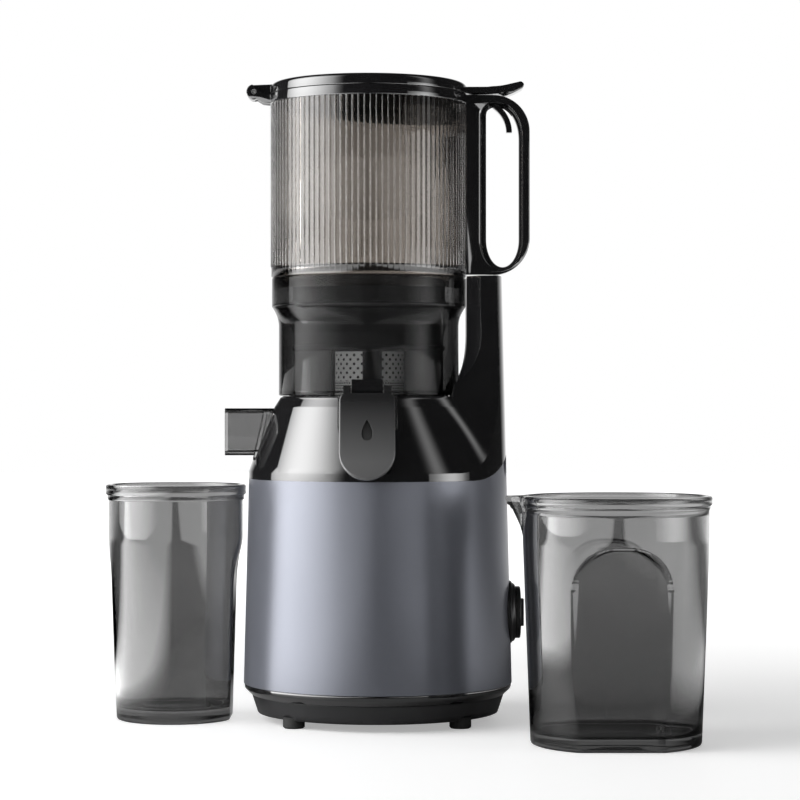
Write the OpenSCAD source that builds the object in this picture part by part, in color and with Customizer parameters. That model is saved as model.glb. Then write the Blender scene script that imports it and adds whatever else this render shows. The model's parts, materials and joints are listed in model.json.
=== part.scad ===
// Cold press juicer with a juice cup and a pulp jug.
// Millimetres. Origin on the juicing axis, on the floor. +X points to the spine and the
// handle, -Y to the juice tap, -X to the pulp outlet, +Z up.

/* [Stand] */
// Height of the rubber feet under the tray
foot_show = 5.5; // [4:0.5:9]
// Diameter of a foot
foot_d = 14.8; // [11:0.2:18]
// Height of the black tray
tray_h = 12.2; // [10:0.2:16]
// Height of the black ring over the tray
ring_h = 7.8; // [6:0.2:12]

/* [Motor housing] */
// Distance from the juicing axis to the middle of the housing
housing_shift = 6.3; // [4:0.1:9]
// Outer radius of the housing at its foot
housing_r_foot = 92.9; // [90:0.1:98]
// Outer radius of the housing at its top
housing_r_top = 89.4; // [86.5:0.1:91]
// Height of the housing at the front
housing_h = 141; // [132:1:160]
// Wall of the housing
housing_wall = 3; // [2:0.2:4]
// Rise of the parting line behind the spine
parting_rise = 24; // [16:1:30]

/* [Top cover] */
// Height of the upright band at the foot of the cover
band_h = 5.3; // [4:0.1:8]
// Height of the cone
cone_h = 44.2; // [40:0.2:52]
// Radius at the top of the cone
cone_r = 67; // [65:0.5:70]
// Height of the chamfer that ends the cone
chamfer_h = 7.4; // [5:0.2:10]
// Radius of the cover's top rim
cover_rim_r = 61; // [59:0.5:63]
// Height of the spine over the top rim
spine_h = 82.6; // [78:0.2:84]
// Half width of the spine at its top
spine_half = 26; // [22:0.5:30]
// Radius of the hollow sweep at the foot of the spine
spine_sweep = 41; // [34:1:44]

/* [Juicing chamber] */
// Outer radius of the bowl over the cover
bowl_r = 62.4; // [61.5:0.1:63.5]
// Height of the upright part of the bowl
bowl_h = 49.6; // [46:0.2:54]
// Height of the shoulder under the ring
shoulder_h = 11.7; // [9:0.1:13]
// How far the ring that takes the hopper stands out over the bowl
ring_step = 4.8; // [3.6:0.1:5.5]
// Height of that ring
ring_band_h = 20; // [17:0.5:22]
// Wall of the bowl
bowl_wall = 2.4; // [1.8:0.2:3]
// Radius of the neck inside the cover
neck_r = 55; // [53:0.5:56]
// Depth of the neck below the cover's rim
neck_h = 43; // [40:0.5:44]

/* [Pulp outlet] */
// Reach of the pulp outlet from the axis
duct_reach = 98.8; // [92:0.2:104]
// Width and height of the pulp outlet
duct_size = 35; // [30:0.5:36]

/* [Strainer and auger] */
// Outer radius of the steel screen
screen_r = 24.6; // [23.5:0.1:26]
// Wall of the steel screen
screen_wall = 0.7; // [0.5:0.1:1.2]
// Height of the screen
screen_h = 62; // [58:0.5:64]
// Holes in one row of the screen
screen_holes = 28; // [20:2:32]
// Running gap between the auger and the screen
auger_gap = 0.6; // [0.4:0.1:1.2]
// Outer radius of the strainer holder
holder_r = 48.5; // [46:0.5:50]

/* [Juice tap] */
// Width of the tap flap
flap_w = 37.4; // [34:0.2:39]
// Length of the tap flap
flap_l = 58.7; // [54:0.5:60]
// Thickness of the tap flap
flap_t = 4; // [3:0.2:5]
// Lean of the flap from upright
flap_lean = 12; // [10:0.5:14]
// Diameter of the tap's bore
tap_bore = 21; // [17:0.5:22]

/* [Hopper] */
// How far the hopper stands out over that ring
hopper_step = 0.8; // [0.7:0.1:2.3]
// Wall of the hopper
hopper_wall = 2.5; // [2:0.1:3]
// Height of the hopper with its black rim
hopper_h = 126.6; // [118:0.2:140]
// Number of flutes round the hopper
flutes = 106; // [72:2:120]
// Depth of a flute
flute_depth = 0.5; // [0.3:0.1:0.8]
// Height of the black rim
rim_h = 6.6; // [5:0.2:9]

/* [Lid and handle] */
// Thickness of the lid
lid_h = 8.2; // [6:0.2:10]
// Depth of the lid's skirt at the hinge
skirt_h = 9; // [7:0.5:12]
// Depth of the lid's skirt at the handle
skirt_h_far = 19; // [16:0.5:26]
// Reach of the handle from the hopper's wall
handle_out = 43.3; // [40:0.1:50]
// Width of the handle
handle_w = 20; // [16:0.5:24]
// Thickness of the grip
grip_t = 7.3; // [6:0.1:10]

/* [Knob] */
// Height of the knob's axis
knob_z = 73.5; // [60:0.5:90]
// Diameter of the knob
knob_d = 36; // [32:0.5:40]
// Diameter of the bezel round the knob
bezel_d = 44; // [42:0.5:52]

/* [Gear train] */
// Tooth module of the first stage
mod_1 = 1; // [0.9:0.05:1.1]
// Tooth module of the second stage
mod_2 = 1.5; // [1.4:0.05:1.55]
// Teeth of the motor pinion
teeth_motor = 12; // [12:1:14]
// Teeth of the idler wheel
teeth_wheel = 60; // [56:1:62]
// Teeth of the idler pinion
teeth_idler = 14; // [13:1:15]
// Teeth of the output gear
teeth_output = 56; // [52:1:58]
// Width across the flats of the hexagonal drive shaft
hex_af = 12; // [10:0.5:14]

/* [Juice cup] */
// Room between the cup's rim and the housing
cup_room = 2; // [1.5:0.5:18]
// Place of the cup in depth
cup_y = 0; // [-30:1:10]
// Radius of the cup's rim
cup_r = 48.6; // [47:0.1:49]
// Radius of the cup at its foot
cup_foot_r = 41; // [39:0.1:42]
// Height of the cup
cup_h = 162.3; // [140:0.1:180]

/* [Pulp jug] */
// Place of the jug across the front
jug_x = 160.6; // [157:0.2:175]
// Place of the jug in depth
jug_y = -131; // [-150:1:-125]
// Radius of the jug's rim
jug_r = 61.8; // [60.5:0.1:64]
// Radius of the jug at its foot
jug_foot_r = 55; // [53:0.1:56]
// Height of the jug
jug_h = 159.3; // [140:0.1:180]

/* [Hidden] */
$fn = 96;

// Clearances
seat_gap = 0.3;
run_gap = 0.05;
slide_gap = 0.4;
bite = 0.01;

// Radii of the stack
ring_r = bowl_r + ring_step;
hopper_r = ring_r + hopper_step;
handle_reach = hopper_r + handle_out;

// Heights of the stack, from the floor up
tray_z = foot_show;
ring_z = tray_z + tray_h;
housing_z = ring_z + ring_h;
cover_z = housing_z + housing_h;
cone_z = cover_z + band_h;
cone_top = cone_z + cone_h;
cover_top = cone_top + chamfer_h;
spine_top = cover_top + spine_h;
bowl_z = cover_top + seat_gap;
shoulder_z = bowl_z + bowl_h;
ring_band_z = shoulder_z + shoulder_h;
bowl_top = ring_band_z + ring_band_h;
neck_z = cover_top - neck_h;
hopper_z = bowl_top + seat_gap;
hopper_top = hopper_z + hopper_h;
rim_z = hopper_top - rim_h;
lid_z = hopper_top + seat_gap;

// Colours
grey_paint = [0.47, 0.48, 0.53];
black_gloss = [0.05, 0.05, 0.055];
black_satin = [0.09, 0.09, 0.095];
smoke = [0.3, 0.3, 0.3, 0.5];
warm_smoke = [0.34, 0.31, 0.29, 0.5];
steel = [0.75, 0.75, 0.74];
copper = [0.72, 0.42, 0.2];
rubber = [0.12, 0.12, 0.12];
silicone = [0.35, 0.35, 0.36];
board_green = [0.1, 0.35, 0.2];
nylon = [0.85, 0.84, 0.78];

// Outer radius of the housing and of the cover's wall at height z
function housing_r(z) =
    housing_r_foot - (housing_r_foot - housing_r_top) * (z - housing_z) / housing_h;

function mix(a, b, t) = a + (b - a) * t;
function clamp01(t) = max(0, min(1, t));
function smooth(t) = let(c = clamp01(t)) c * c * (3 - 2 * c);
// The larger of a and b, with a soft change of radius about k
function soft_max(a, b, k) = max(a, b) + pow(max(k - abs(a - b), 0), 2) / (4 * k);

// Extrudes a profile drawn in X and Z along Y
module along_y(y0, y1) {
    translate([0, y1, 0]) rotate([90, 0, 0]) linear_extrude(height = y1 - y0) children();
}

// Extrudes a profile drawn in Y and Z along X
module along_x(x0, x1) {
    translate([x0, 0, 0]) rotate([90, 0, 90]) linear_extrude(height = x1 - x0) children();
}

module at_housing() {
    translate([housing_shift, 0, 0]) children();
}

module tube(r_out, r_in, z0, z1) {
    translate([0, 0, z0]) difference() {
        cylinder(h = z1 - z0, r = r_out);
        translate([0, 0, -1]) cylinder(h = z1 - z0 + 2, r = r_in);
    }
}

module rod_y(x, z, r, y0, y1) {
    translate([x, y1, z]) rotate([90, 0, 0]) cylinder(h = y1 - y0, r = r);
}

module rod_x(y, z, r, x0, x1) {
    translate([x0, y, z]) rotate([0, 90, 0]) cylinder(h = x1 - x0, r = r);
}

module rounded_rect(w, h, r) {
    square([w - 2 * r, h], center = true);
    square([w, h - 2 * r], center = true);
    for (sx = [-1, 1], sy = [-1, 1])
        translate([sx * (w / 2 - r), sy * (h / 2 - r)]) circle(r = r);
}

// ---------------------------------------------------------------- stand

tray_r_top = housing_r_foot - 5.6;
tray_r_low = housing_r_foot - 9.6;
foot_ring_r = tray_r_low - 4.8;
foot_angle = 44.5;
foot_x = foot_ring_r * cos(foot_angle);
foot_y = foot_ring_r * sin(foot_angle);
foot_seat = 2;
foot_places = [for (sx = [-1, 1], sy = [-1, 1]) [housing_shift + sx * foot_x, sy * foot_y]];
screw_ring_r = tray_r_low - 13.3;
screw_places = [for (a = [0 : 90 : 270])
    [housing_shift + screw_ring_r * cos(a), screw_ring_r * sin(a)]];
screw_boss_r = 5;
screw_r = 2;
floor_t = 3;

module base_tray() {
    color(black_satin) difference() {
        at_housing() union() {
            translate([0, 0, tray_z]) difference() {
                cylinder(h = tray_h, r1 = tray_r_low, r2 = tray_r_top);
                translate([0, 0, floor_t])
                    cylinder(h = tray_h, r1 = tray_r_low - 3.4, r2 = tray_r_top - 3);
            }
            for (p = screw_places)
                translate([p[0] - housing_shift, p[1], tray_z])
                    cylinder(h = tray_h - 1, r = screw_boss_r);
        }
        for (p = foot_places)
            translate([p[0], p[1], tray_z - 1]) cylinder(h = foot_seat + 1, d = foot_d + 2 * run_gap);
        for (p = screw_places)
            translate([p[0], p[1], tray_z - 1]) {
                cylinder(h = tray_h + 2, r = screw_r + run_gap);
                cylinder(h = 3 + 1, r = 2 * screw_r);
            }
        for (row = [-4 : 4])
            translate([housing_shift + row * 9, 0, tray_z - 1])
                translate([-1.75, -24, 0]) cube([3.5, 48, floor_t + 2]);
    }
}

module rubber_feet() {
    color(rubber) for (p = foot_places)
        translate([p[0], p[1], 0]) {
            cylinder(h = 1, d1 = foot_d - 2, d2 = foot_d);
            translate([0, 0, 1]) cylinder(h = tray_z + foot_seat - 1, d = foot_d);
        }
}

module tray_screws() {
    color(steel) for (p = screw_places)
        translate([p[0], p[1], tray_z + 0.4]) {
            difference() {
                cylinder(h = 2.6, r = 2 * screw_r - run_gap);
                translate([0, 0, -1]) cylinder(h = 2.2, r = 1.5, $fn = 6);
            }
            translate([0, 0, 2.6]) cylinder(h = tray_h - 1.2, r = screw_r);
        }
}

// Black ring between the tray and the housing, chamfered towards the tray
module base_ring() {
    chamfer = 4.6;
    color(black_gloss) difference() {
        at_housing() rotate_extrude() polygon([
            [tray_r_top - 20, ring_z + 2], [tray_r_top - 3.2, ring_z], [tray_r_top, ring_z],
            [housing_r_foot - 0.6, ring_z + chamfer], [housing_r_foot - 0.6, housing_z],
            [tray_r_top - 20, housing_z]
        ]);
        for (p = screw_places)
            translate([p[0], p[1], ring_z - 1]) cylinder(h = 3, r = screw_r + run_gap);
    }
}

// ---------------------------------------------------------------- motor housing

// Everything below the parting line between the housing and the cover
module parting_below(drop = 0) {
    x0 = housing_shift + housing_r_top - parting_rise + 0.5;
    translate([0, 0, -drop]) along_y(-120, 120) {
        translate([-130, -20]) square([260, cover_z + 20]);
        difference() {
            translate([x0, cover_z - bite]) square([60, parting_rise + bite]);
            translate([x0, cover_z + parting_rise]) circle(r = parting_rise);
        }
    }
}

module housing_solid(inset, z0, z1) {
    at_housing() translate([0, 0, z0])
        cylinder(h = z1 - z0, r1 = housing_r(z0) - inset, r2 = housing_r(z1) - inset);
}

inlet_z = housing_z + 18;
inlet_d = 15;

module motor_housing() {
    top = cover_z + parting_rise;
    color(grey_paint) difference() {
        intersection() {
            difference() {
                housing_solid(0, housing_z, top);
                housing_solid(housing_wall, housing_z - 1, top + 1);
            }
            parting_below();
        }
        rod_x(0, knob_z, 7, 60, 120);
        rod_y(housing_shift, inlet_z, inlet_d / 2 + run_gap, 60, 120);
    }
}

inlet_out = 4;

module cord_inlet() {
    y_wall = housing_r(inlet_z);
    color(black_satin) difference() {
        union() {
            rod_y(housing_shift, inlet_z, inlet_d / 2, y_wall - 12, y_wall + inlet_out);
            difference() {
                rod_y(housing_shift, inlet_z, inlet_d / 2 + 3, y_wall - 6, y_wall + 2.5);
                housing_solid(0, housing_z, cover_z);
            }
        }
        rod_y(housing_shift, inlet_z, 3.6, y_wall - 20, y_wall + 20);
    }
}

// ---------------------------------------------------------------- top cover

recess_r = neck_r + 2;
recess_z = neck_z - seat_gap;
clear_r = ring_r + 1.8;
facet_u = 45.6;
facet_angle = 36.87;
panel_edge = 88;
flare_r = 135;
flare_z = cover_top + 31.6;

// Half width of the spine's front panel at height z
function panel_w(z) = spine_half + (z >= flare_z ? 0 :
    flare_r - sqrt(pow(flare_r, 2) - pow(flare_z - z, 2)));
function panel_k(z) = 0.3 * smooth((spine_top - 16 - z) / 66);

// Distance from the axis to a circle round (c, 0), in direction a
function polar_circle(a, c, r) = c * cos(a) + sqrt(max(0, r * r - pow(c * sin(a), 2)));
function polar_cone(a, z) =
    z <= cone_z ? polar_circle(a, housing_shift, housing_r(z) + seat_gap) :
    z <= cone_top ? let(t = (z - cone_z) / cone_h)
        polar_circle(a, housing_shift * (1 - t), mix(housing_r(cone_z), cone_r, t)) :
    z <= cover_top ? mix(cone_r, cover_rim_r, (z - cone_top) / chamfer_h) :
    cover_rim_r - 10;
function polar_panel(a, z) = let(side = abs(sin(a)) + panel_k(z) * cos(a))
    abs(a) > 95 ? 0 : (panel_w(z) + panel_edge * panel_k(z)) / max(side, 0.02);
// Outside the wall, where the exact wall trims the skin
skin_far = 112;
function cover_r(a, z) = z < cone_z ? skin_far :
    min(skin_far, soft_max(polar_cone(a, z), polar_panel(a, z), 8));

skin_angles = concat([for (a = [-72 : 4 : 72]) a], [for (a = [79.2 : 7.2 : 280.8]) a]);
skin_levels = concat(
    [cover_z - 1, cone_z - bite, cone_z], [for (t = [0.25 : 0.25 : 1]) cone_z + t * cone_h], [cover_top],
    [for (t = [0.07, 0.16, 0.27, 0.4, 0.58, 0.78, 1]) cover_top + t * spine_h],
    [spine_top + 2]
);

function wrap(a) = a > 180 ? a - 360 : a;

// Skin of the cone and the spine, as rings of points
module cover_skin() {
    n = len(skin_angles);
    m = len(skin_levels);
    points = [for (z = skin_levels, a = skin_angles)
        let(r = cover_r(wrap(a), z)) [r * cos(a), r * sin(a), z]];
    sides = [for (k = [0 : m - 2], i = [0 : n - 1], half = [0, 1])
        let(j = (i + 1) % n, low = k * n, up = (k + 1) * n)
        half == 0 ? [low + i, up + j, low + j] : [low + i, up + i, up + j]];
    polyhedron(
        points = points,
        faces = concat([[for (i = [0 : n - 1]) i]], sides,
            [[for (i = [n - 1 : -1 : 0]) (m - 1) * n + i]])
    );
}

// Cut in front of the spine's slanted facet; mirrored for the back
module facet_cut() {
    top = spine_top + 10;
    sweep_z = cover_top + 2.6 + spine_sweep;
    rotate([0, 0, facet_angle]) along_y(-140, 140) {
        translate([facet_u - spine_sweep, sweep_z]) circle(r = spine_sweep);
        translate([-150, sweep_z - spine_sweep])
            square([150 + facet_u - spine_sweep, top - sweep_z + spine_sweep]);
        translate([-150, sweep_z]) square([150 + facet_u, top - sweep_z]);
    }
}

slot_half = flap_w / 2 + 1.1;
slot_z = neck_z + 4;
duct_slot_half = duct_size / 2 + 1.2;
duct_z = neck_z + 2.2;

module cover_outer() {
    difference() {
        intersection() {
            cover_skin();
            housing_solid(0, cover_z, spine_top);
        }
        translate([0, 0, cover_top]) cylinder(h = spine_h + 5, r = clear_r);
        facet_cut();
        mirror([0, 1, 0]) facet_cut();
        parting_below();
    }
}

// Middle of the spine's wall, where the interlock pin runs
pin_x = (clear_r + housing_shift + housing_r(spine_top)) / 2 + 0.6;

module top_cover() {
    cavity_r = 83;
    color(black_gloss) difference() {
        cover_outer();
        // recess for the neck of the bowl
        translate([0, 0, recess_z]) cylinder(h = 80, r = recess_r);
        // hollow under the cone
        translate([housing_shift / 2, 0, 0]) rotate_extrude() polygon([
            [recess_r + 5.5, cover_z - 1], [cavity_r, cover_z - 1], [cavity_r - 1, cone_z],
            [recess_r + 7, cone_top - 12], [recess_r + 5.5, cone_top - 12]
        ]);
        translate([0, 0, cover_z - 1]) cylinder(h = recess_z - 5 - cover_z + 1, r = recess_r - 4);
        // shaft bore
        translate([0, 0, cover_z]) cylinder(h = 40, r = seal_r + run_gap);
        // slot for the tap, open to the top
        along_y(-100, -recess_r + 12) {
            translate([-slot_half, slot_z + slot_half]) square([2 * slot_half, 60]);
            translate([0, slot_z + slot_half]) circle(r = slot_half);
        }
        // slot for the pulp outlet, open to the top
        translate([-110, -duct_slot_half, duct_z - 1.2])
            cube([110 - recess_r + 12, 2 * duct_slot_half, 60]);
        // shaft of the interlock pin in the spine, with a pocket for its switch
        translate([pin_x, 0, cover_z]) cylinder(h = spine_h + 100, r = pin_r + run_gap);
        translate([pin_x - switch_w / 2 - seat_gap, -switch_w / 2, cover_z - 1])
            cube([switch_w + 2 * seat_gap, switch_w, pin_low - cover_z + 1]);
    }
}

// ---------------------------------------------------------------- drive

idler_angle = 31;
motor_angle = 203;
centre_2 = mod_2 * (teeth_idler + teeth_output) / 2;
centre_1 = mod_1 * (teeth_motor + teeth_wheel) / 2;
idler_at = centre_2 * [cos(idler_angle), sin(idler_angle)];
motor_at = idler_at + centre_1 * [cos(motor_angle), sin(motor_angle)];
pressure = 25;
backlash = 0.16;

gear_z = housing_z + 98;
wheel_t = 8;
output_t = 13;
stage_gap = 2;
plate_t = 4;
case_z = gear_z - 6;
case_top = gear_z + wheel_t + stage_gap + output_t + 3;
shaft_r = 8;
seal_r = 12;
bearing_r = 13;

function involute(r, rb) = let(t = acos(min(1, rb / r))) tan(t) * 180 / PI - t;
// Half angle of a tooth at radius r
function tooth_half(r, m, z) = let(rp = m * z / 2, rb = rp * cos(pressure))
    90 / z - backlash / rp * 180 / PI + involute(rp, rb) - involute(max(r, rb), rb);
function gear_points(m, z, turn) = let(
        rp = m * z / 2,
        radii = [rp - m, rp - 0.35 * m, rp + 0.25 * m, rp + 0.8 * m])
    [for (i = [0 : z - 1], s = [-1, 1], j = [0 : 3])
        let(r = radii[s < 0 ? j : 3 - j], a = turn + i * 360 / z + s * tooth_half(r, m, z))
        [r * cos(a), r * sin(a)]];
// Turn that puts a pinion in mesh with a wheel of z2 teeth, turned by turn2, that lies
// at angle phi as seen from the wheel
function mesh_turn(phi, z1, z2, turn2) = phi + 180 - 180 / z1 + (phi - turn2) * z2 / z1;

module gear(m, z, turn, t) {
    linear_extrude(height = t) polygon(gear_points(m, z, turn));
}

module at_motor(z) {
    translate([motor_at[0], motor_at[1], z]) children();
}

module at_idler(z) {
    translate([idler_at[0], idler_at[1], z]) children();
}

motor_can_r = 44;
motor_can_z = housing_z + 14;
motor_can_top = case_z - 3;
rotor_r = 27;
motor_shaft_r = 4;

module motor_stator() {
    slots = 12;
    pillar_z = ring_z + ring_h - 5.8;
    color(copper) difference() {
        union() {
            at_motor(motor_can_z) cylinder(h = motor_can_top - motor_can_z, r = motor_can_r);
            at_motor(motor_can_top - 0.5) cylinder(h = case_z - motor_can_top + 0.5, r = 14);
            for (a = [45 : 90 : 315]) at_motor(pillar_z) rotate(a)
                translate([motor_can_r - 4, 0, 0])
                    cylinder(h = motor_can_z - pillar_z + 8, r = 4);
        }
        at_motor(motor_can_z + 6) cylinder(h = motor_can_top - motor_can_z - 12, r = rotor_r + 0.6);
        at_motor(0) cylinder(h = 200, r = motor_shaft_r + run_gap);
        for (i = [0 : slots - 1]) at_motor(motor_can_z + 6) rotate(i * 360 / slots)
            translate([rotor_r - 1, -2, 0]) cube([9, 4, motor_can_top - motor_can_z - 12]);
    }
}

module motor_rotor() {
    color(steel) at_motor(motor_can_z + 8) difference() {
        cylinder(h = motor_can_top - motor_can_z - 16, r = rotor_r);
        translate([0, 0, -1]) cylinder(h = 100, r = motor_shaft_r);
    }
}

fan_z = motor_can_z - 9;

module motor_shaft() {
    color(steel) {
        at_motor(fan_z - 1) cylinder(h = gear_z + 1 - fan_z, r = motor_shaft_r);
        at_motor(gear_z) gear(mod_1, teeth_motor,
            mesh_turn(motor_angle, teeth_motor, teeth_wheel, 0), wheel_t);
    }
}

module cooling_fan() {
    color(black_satin) at_motor(fan_z) difference() {
        union() {
            cylinder(h = 6, r = 10);
            for (i = [0 : 8]) rotate(i * 40) translate([8, -1, 0]) cube([26, 2, 6]);
            cylinder(h = 1, r = 34);
        }
        translate([0, 0, -1]) cylinder(h = 10, r = motor_shaft_r);
    }
}

case_wall = 3;
case_r_out = mod_2 * teeth_output / 2 + mod_2 + 3;
case_r_idler = mod_1 * teeth_wheel / 2 + mod_1 + 3;

module case_outline(extra) {
    circle(r = case_r_out + extra);
    translate(idler_at) circle(r = case_r_idler + extra);
}

module gearbox_case() {
    color(nylon) difference() {
        translate([0, 0, case_z]) linear_extrude(height = case_top - case_z) case_outline(case_wall);
        translate([0, 0, case_z + 4]) linear_extrude(height = case_top) case_outline(0);
        at_motor(case_z - 1) cylinder(h = 20, r = mod_1 * teeth_motor / 2 + mod_1 + 1);
        at_idler(case_z - 1) cylinder(h = 20, r = axle_r);
        translate([0, 0, case_z - 1]) cylinder(h = 3, r = shaft_r + run_gap);
        translate([0, 0, case_z + 1.5]) cylinder(h = 9, r = shaft_r + run_gap);
    }
}

module gearbox_plate() {
    color(nylon) difference() {
        translate([0, 0, case_top]) linear_extrude(height = plate_t) case_outline(case_wall);
        translate([0, 0, case_top - 1]) cylinder(h = plate_t + 2, r = bearing_r + run_gap);
        at_idler(case_top - 1) cylinder(h = plate_t + 2, r = axle_r);
    }
}

axle_r = 3.5;

module idler_axle() {
    color(steel) at_idler(case_z) cylinder(h = case_top + plate_t - case_z, r = axle_r);
}

module idler_gear() {
    color(steel) at_idler(gear_z) difference() {
        union() {
            gear(mod_1, teeth_wheel, 0, wheel_t);
            cylinder(h = wheel_t + stage_gap, r = 8);
            translate([0, 0, wheel_t + stage_gap - 0.5])
                gear(mod_2, teeth_idler, mesh_turn(idler_angle, teeth_idler, teeth_output, 0),
                    output_t + 1);
        }
        translate([0, 0, -1]) cylinder(h = 60, r = axle_r + run_gap);
    }
}

output_z = gear_z + wheel_t + stage_gap;

module output_gear() {
    color(steel) translate([0, 0, output_z]) difference() {
        gear(mod_2, teeth_output, 0, output_t);
        translate([0, 0, -1]) cylinder(h = 40, r = shaft_r);
        for (a = [0 : 60 : 300]) rotate(a) translate([25, 0, -1]) cylinder(h = 40, r = 7);
    }
}

hex_z = neck_z + 6;
hex_h = 20;

module drive_shaft() {
    color(steel) {
        translate([0, 0, case_z]) cylinder(h = hex_z - case_z, r = shaft_r);
        translate([0, 0, hex_z - 0.5]) cylinder(h = hex_h + 0.5, r = hex_af / sqrt(3), $fn = 6);
    }
}

module shaft_bearing() {
    color(steel) tube(bearing_r, shaft_r + run_gap, case_top - 2, case_top + plate_t);
}

module shaft_seal() {
    color(rubber) tube(seal_r, shaft_r + run_gap, recess_z - 5, recess_z);
}

// ---------------------------------------------------------------- controls

module control_board() {
    board_x = housing_shift - 77;
    color(board_green) translate([board_x, -28, housing_z + 30]) {
        cube([1.6, 56, 60]);
        translate([1.6, 6, 8]) cube([9, 14, 14]);
        translate([1.6, 34, 10]) cube([12, 12, 24]);
        translate([1.6, 8, 36]) cube([7, 20, 6]);
    }
    color(board_green) intersection() {
        for (sy = [-1, 1]) translate([board_x - 20, sy * 20 - 3, housing_z + 34]) cube([20, 6, 8]);
        housing_solid(housing_wall + run_gap, housing_z, cover_z);
    }
}

knob_wall_x = housing_shift + housing_r(knob_z);
bezel_x = knob_wall_x + 3.5;
knob_x = bezel_x + seat_gap;
knob_t = 3.5;
knob_bar_t = 2.3;
spindle_r = 3;

module knob_bezel() {
    color(black_gloss) difference() {
        union() {
            rod_x(0, knob_z, bezel_d / 2, knob_wall_x - 6, bezel_x - 2.5);
            translate([bezel_x - 2.5, 0, knob_z]) rotate([0, 90, 0])
                cylinder(h = 2.5, r1 = bezel_d / 2, r2 = bezel_d / 2 - 2);
            rod_x(0, knob_z, 7 - run_gap, knob_wall_x - housing_wall - 4, bezel_x - 1);
        }
        difference() {
            housing_solid(0, housing_z, cover_z);
            rod_x(0, knob_z, 7 - run_gap, 60, 120);
        }
        rod_x(0, knob_z, spindle_r + run_gap, 60, 120);
    }
}

module rotary_switch() {
    x1 = knob_wall_x - housing_wall - 4;
    color(black_satin) difference() {
        translate([x1 - 16, -12, knob_z - 12]) cube([16, 24, 24]);
        rod_x(0, knob_z, spindle_r + run_gap, x1 - 12, x1 + 1);
    }
}

module control_knob() {
    x1 = knob_wall_x - housing_wall - 4;
    color(black_gloss) {
        translate([knob_x, 0, knob_z]) rotate([0, 90, 0]) {
            cylinder(h = knob_t - 1, r = knob_d / 2);
            translate([0, 0, knob_t - 1]) cylinder(h = 1, r1 = knob_d / 2, r2 = knob_d / 2 - 1);
        }
        translate([knob_x + knob_t - bite, -4, knob_z - 9.5]) cube([knob_bar_t, 8, 19]);
        rod_x(0, knob_z, spindle_r, x1 - 11, knob_x + 1);
    }
}

pin_r = 4;
pin_low = cover_z + 20;
pin_travel = 1.5;
switch_w = 10;

module interlock_pin() {
    color(nylon) {
        translate([pin_x, 0, pin_low]) cylinder(h = spine_top + 0.6 - pin_low, r = pin_r);
    }
}

module interlock_switch() {
    top = pin_low - pin_travel - seat_gap;
    color(black_satin) {
        translate([pin_x - switch_w / 2, -switch_w / 2, cover_z + 4])
            cube([switch_w, switch_w, top - 3 - cover_z - 4]);
        translate([pin_x - 2, -2, top - 3 - bite]) cube([4, 4, 3]);
    }
}

// ---------------------------------------------------------------- chamber

spout_r = tap_bore / 2 + bowl_wall;
hinge_y = -77;
hinge_z = cover_top + 3.6;
tap_z = neck_z + 18;

module at_tap() {
    translate([0, hinge_y, hinge_z]) rotate([-flap_lean, 0, 0]) children();
}

// Depth of the spout's bore below the hinge, in the flap's own slant
spout_drop = (hinge_z - tap_z) / cos(flap_lean) - 5;
flap_back = -3;

module spout_solid(r, y1) {
    at_tap() translate([0, flap_back + 0.9, -spout_drop]) rotate([-90, 0, 0])
        cylinder(h = y1, r = r);
}

module duct_solid(inset, x0, x1) {
    s = duct_size - 2 * inset;
    along_x(x0, x1) translate([0, duct_z + duct_size / 2]) rounded_rect(s, s, 4 - inset);
}

hub_r = shaft_r + 4;
ring_in = ring_r - 2.8;

module bowl_outer() {
    rotate_extrude() polygon([
        [0, neck_z], [neck_r - 4, neck_z], [neck_r, neck_z + 4], [neck_r, bowl_z],
        [bowl_r, bowl_z], [bowl_r, shoulder_z], [bowl_r + 0.8, shoulder_z + 5],
        [ring_r - 1.5, ring_band_z - 1], [ring_r, ring_band_z], [ring_r, bowl_top],
        [0, bowl_top]
    ]);
}

module bowl_inner() {
    w = bowl_wall;
    rotate_extrude() polygon([
        [0, neck_z + w], [neck_r - 4 - w, neck_z + w], [neck_r - w, neck_z + 4 + w],
        [neck_r - w, bowl_z + w], [bowl_r - w, bowl_z + w], [bowl_r - w, shoulder_z],
        [bowl_r - w + 1, shoulder_z + 6], [ring_in - 2, ring_band_z + 1],
        [ring_in, ring_band_z + 1], [ring_in, bowl_top + 1], [0, bowl_top + 1]
    ]);
}

module chamber_bowl() {
    collar_t = 3;
    color(smoke) difference() {
        union() {
            bowl_outer();
            intersection() {
                spout_solid(spout_r, 60);
                translate([-30, -120, neck_z]) cube([60, 120 - neck_r * 0.8, 100]);
            }
            duct_solid(0, -duct_reach, -neck_r + 8);
            // collar that hugs the cone
            difference() {
                along_x(-duct_reach + 12, -recess_r - 1)
                    translate([0, duct_z + duct_size / 2])
                        rounded_rect(duct_size + 8, duct_size + 8, 7);
                cover_cone_shell(seat_gap);
                difference() {
                    translate([-120, -40, 0]) cube([120, 80, 400]);
                    cover_cone_shell(seat_gap + collar_t);
                }
            }
        }
        difference() {
            bowl_inner();
            tube(hub_r, 0, neck_z, neck_z + 6);
        }
        translate([0, 0, neck_z - 1]) cylinder(h = 20, r = hub_r - 2.4);
        spout_solid(tap_bore / 2, 52);
        duct_solid(bowl_wall, -duct_reach - 1, -neck_r + bowl_wall + 9);
    }
}

// Solid of the cover's cone, grown by extra
module cover_cone_shell(extra) {
    hull() {
        translate([housing_shift, 0, cone_z]) cylinder(h = bite, r = housing_r_top + extra, $fn = 64);
        translate([0, 0, cone_top]) cylinder(h = bite, r = cone_r + extra, $fn = 64);
    }
}

module bowl_seal() {
    color(silicone) tube(hub_r - 2.4 - run_gap, shaft_r + run_gap, neck_z - 0.1, neck_z + 5.4);
}

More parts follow.
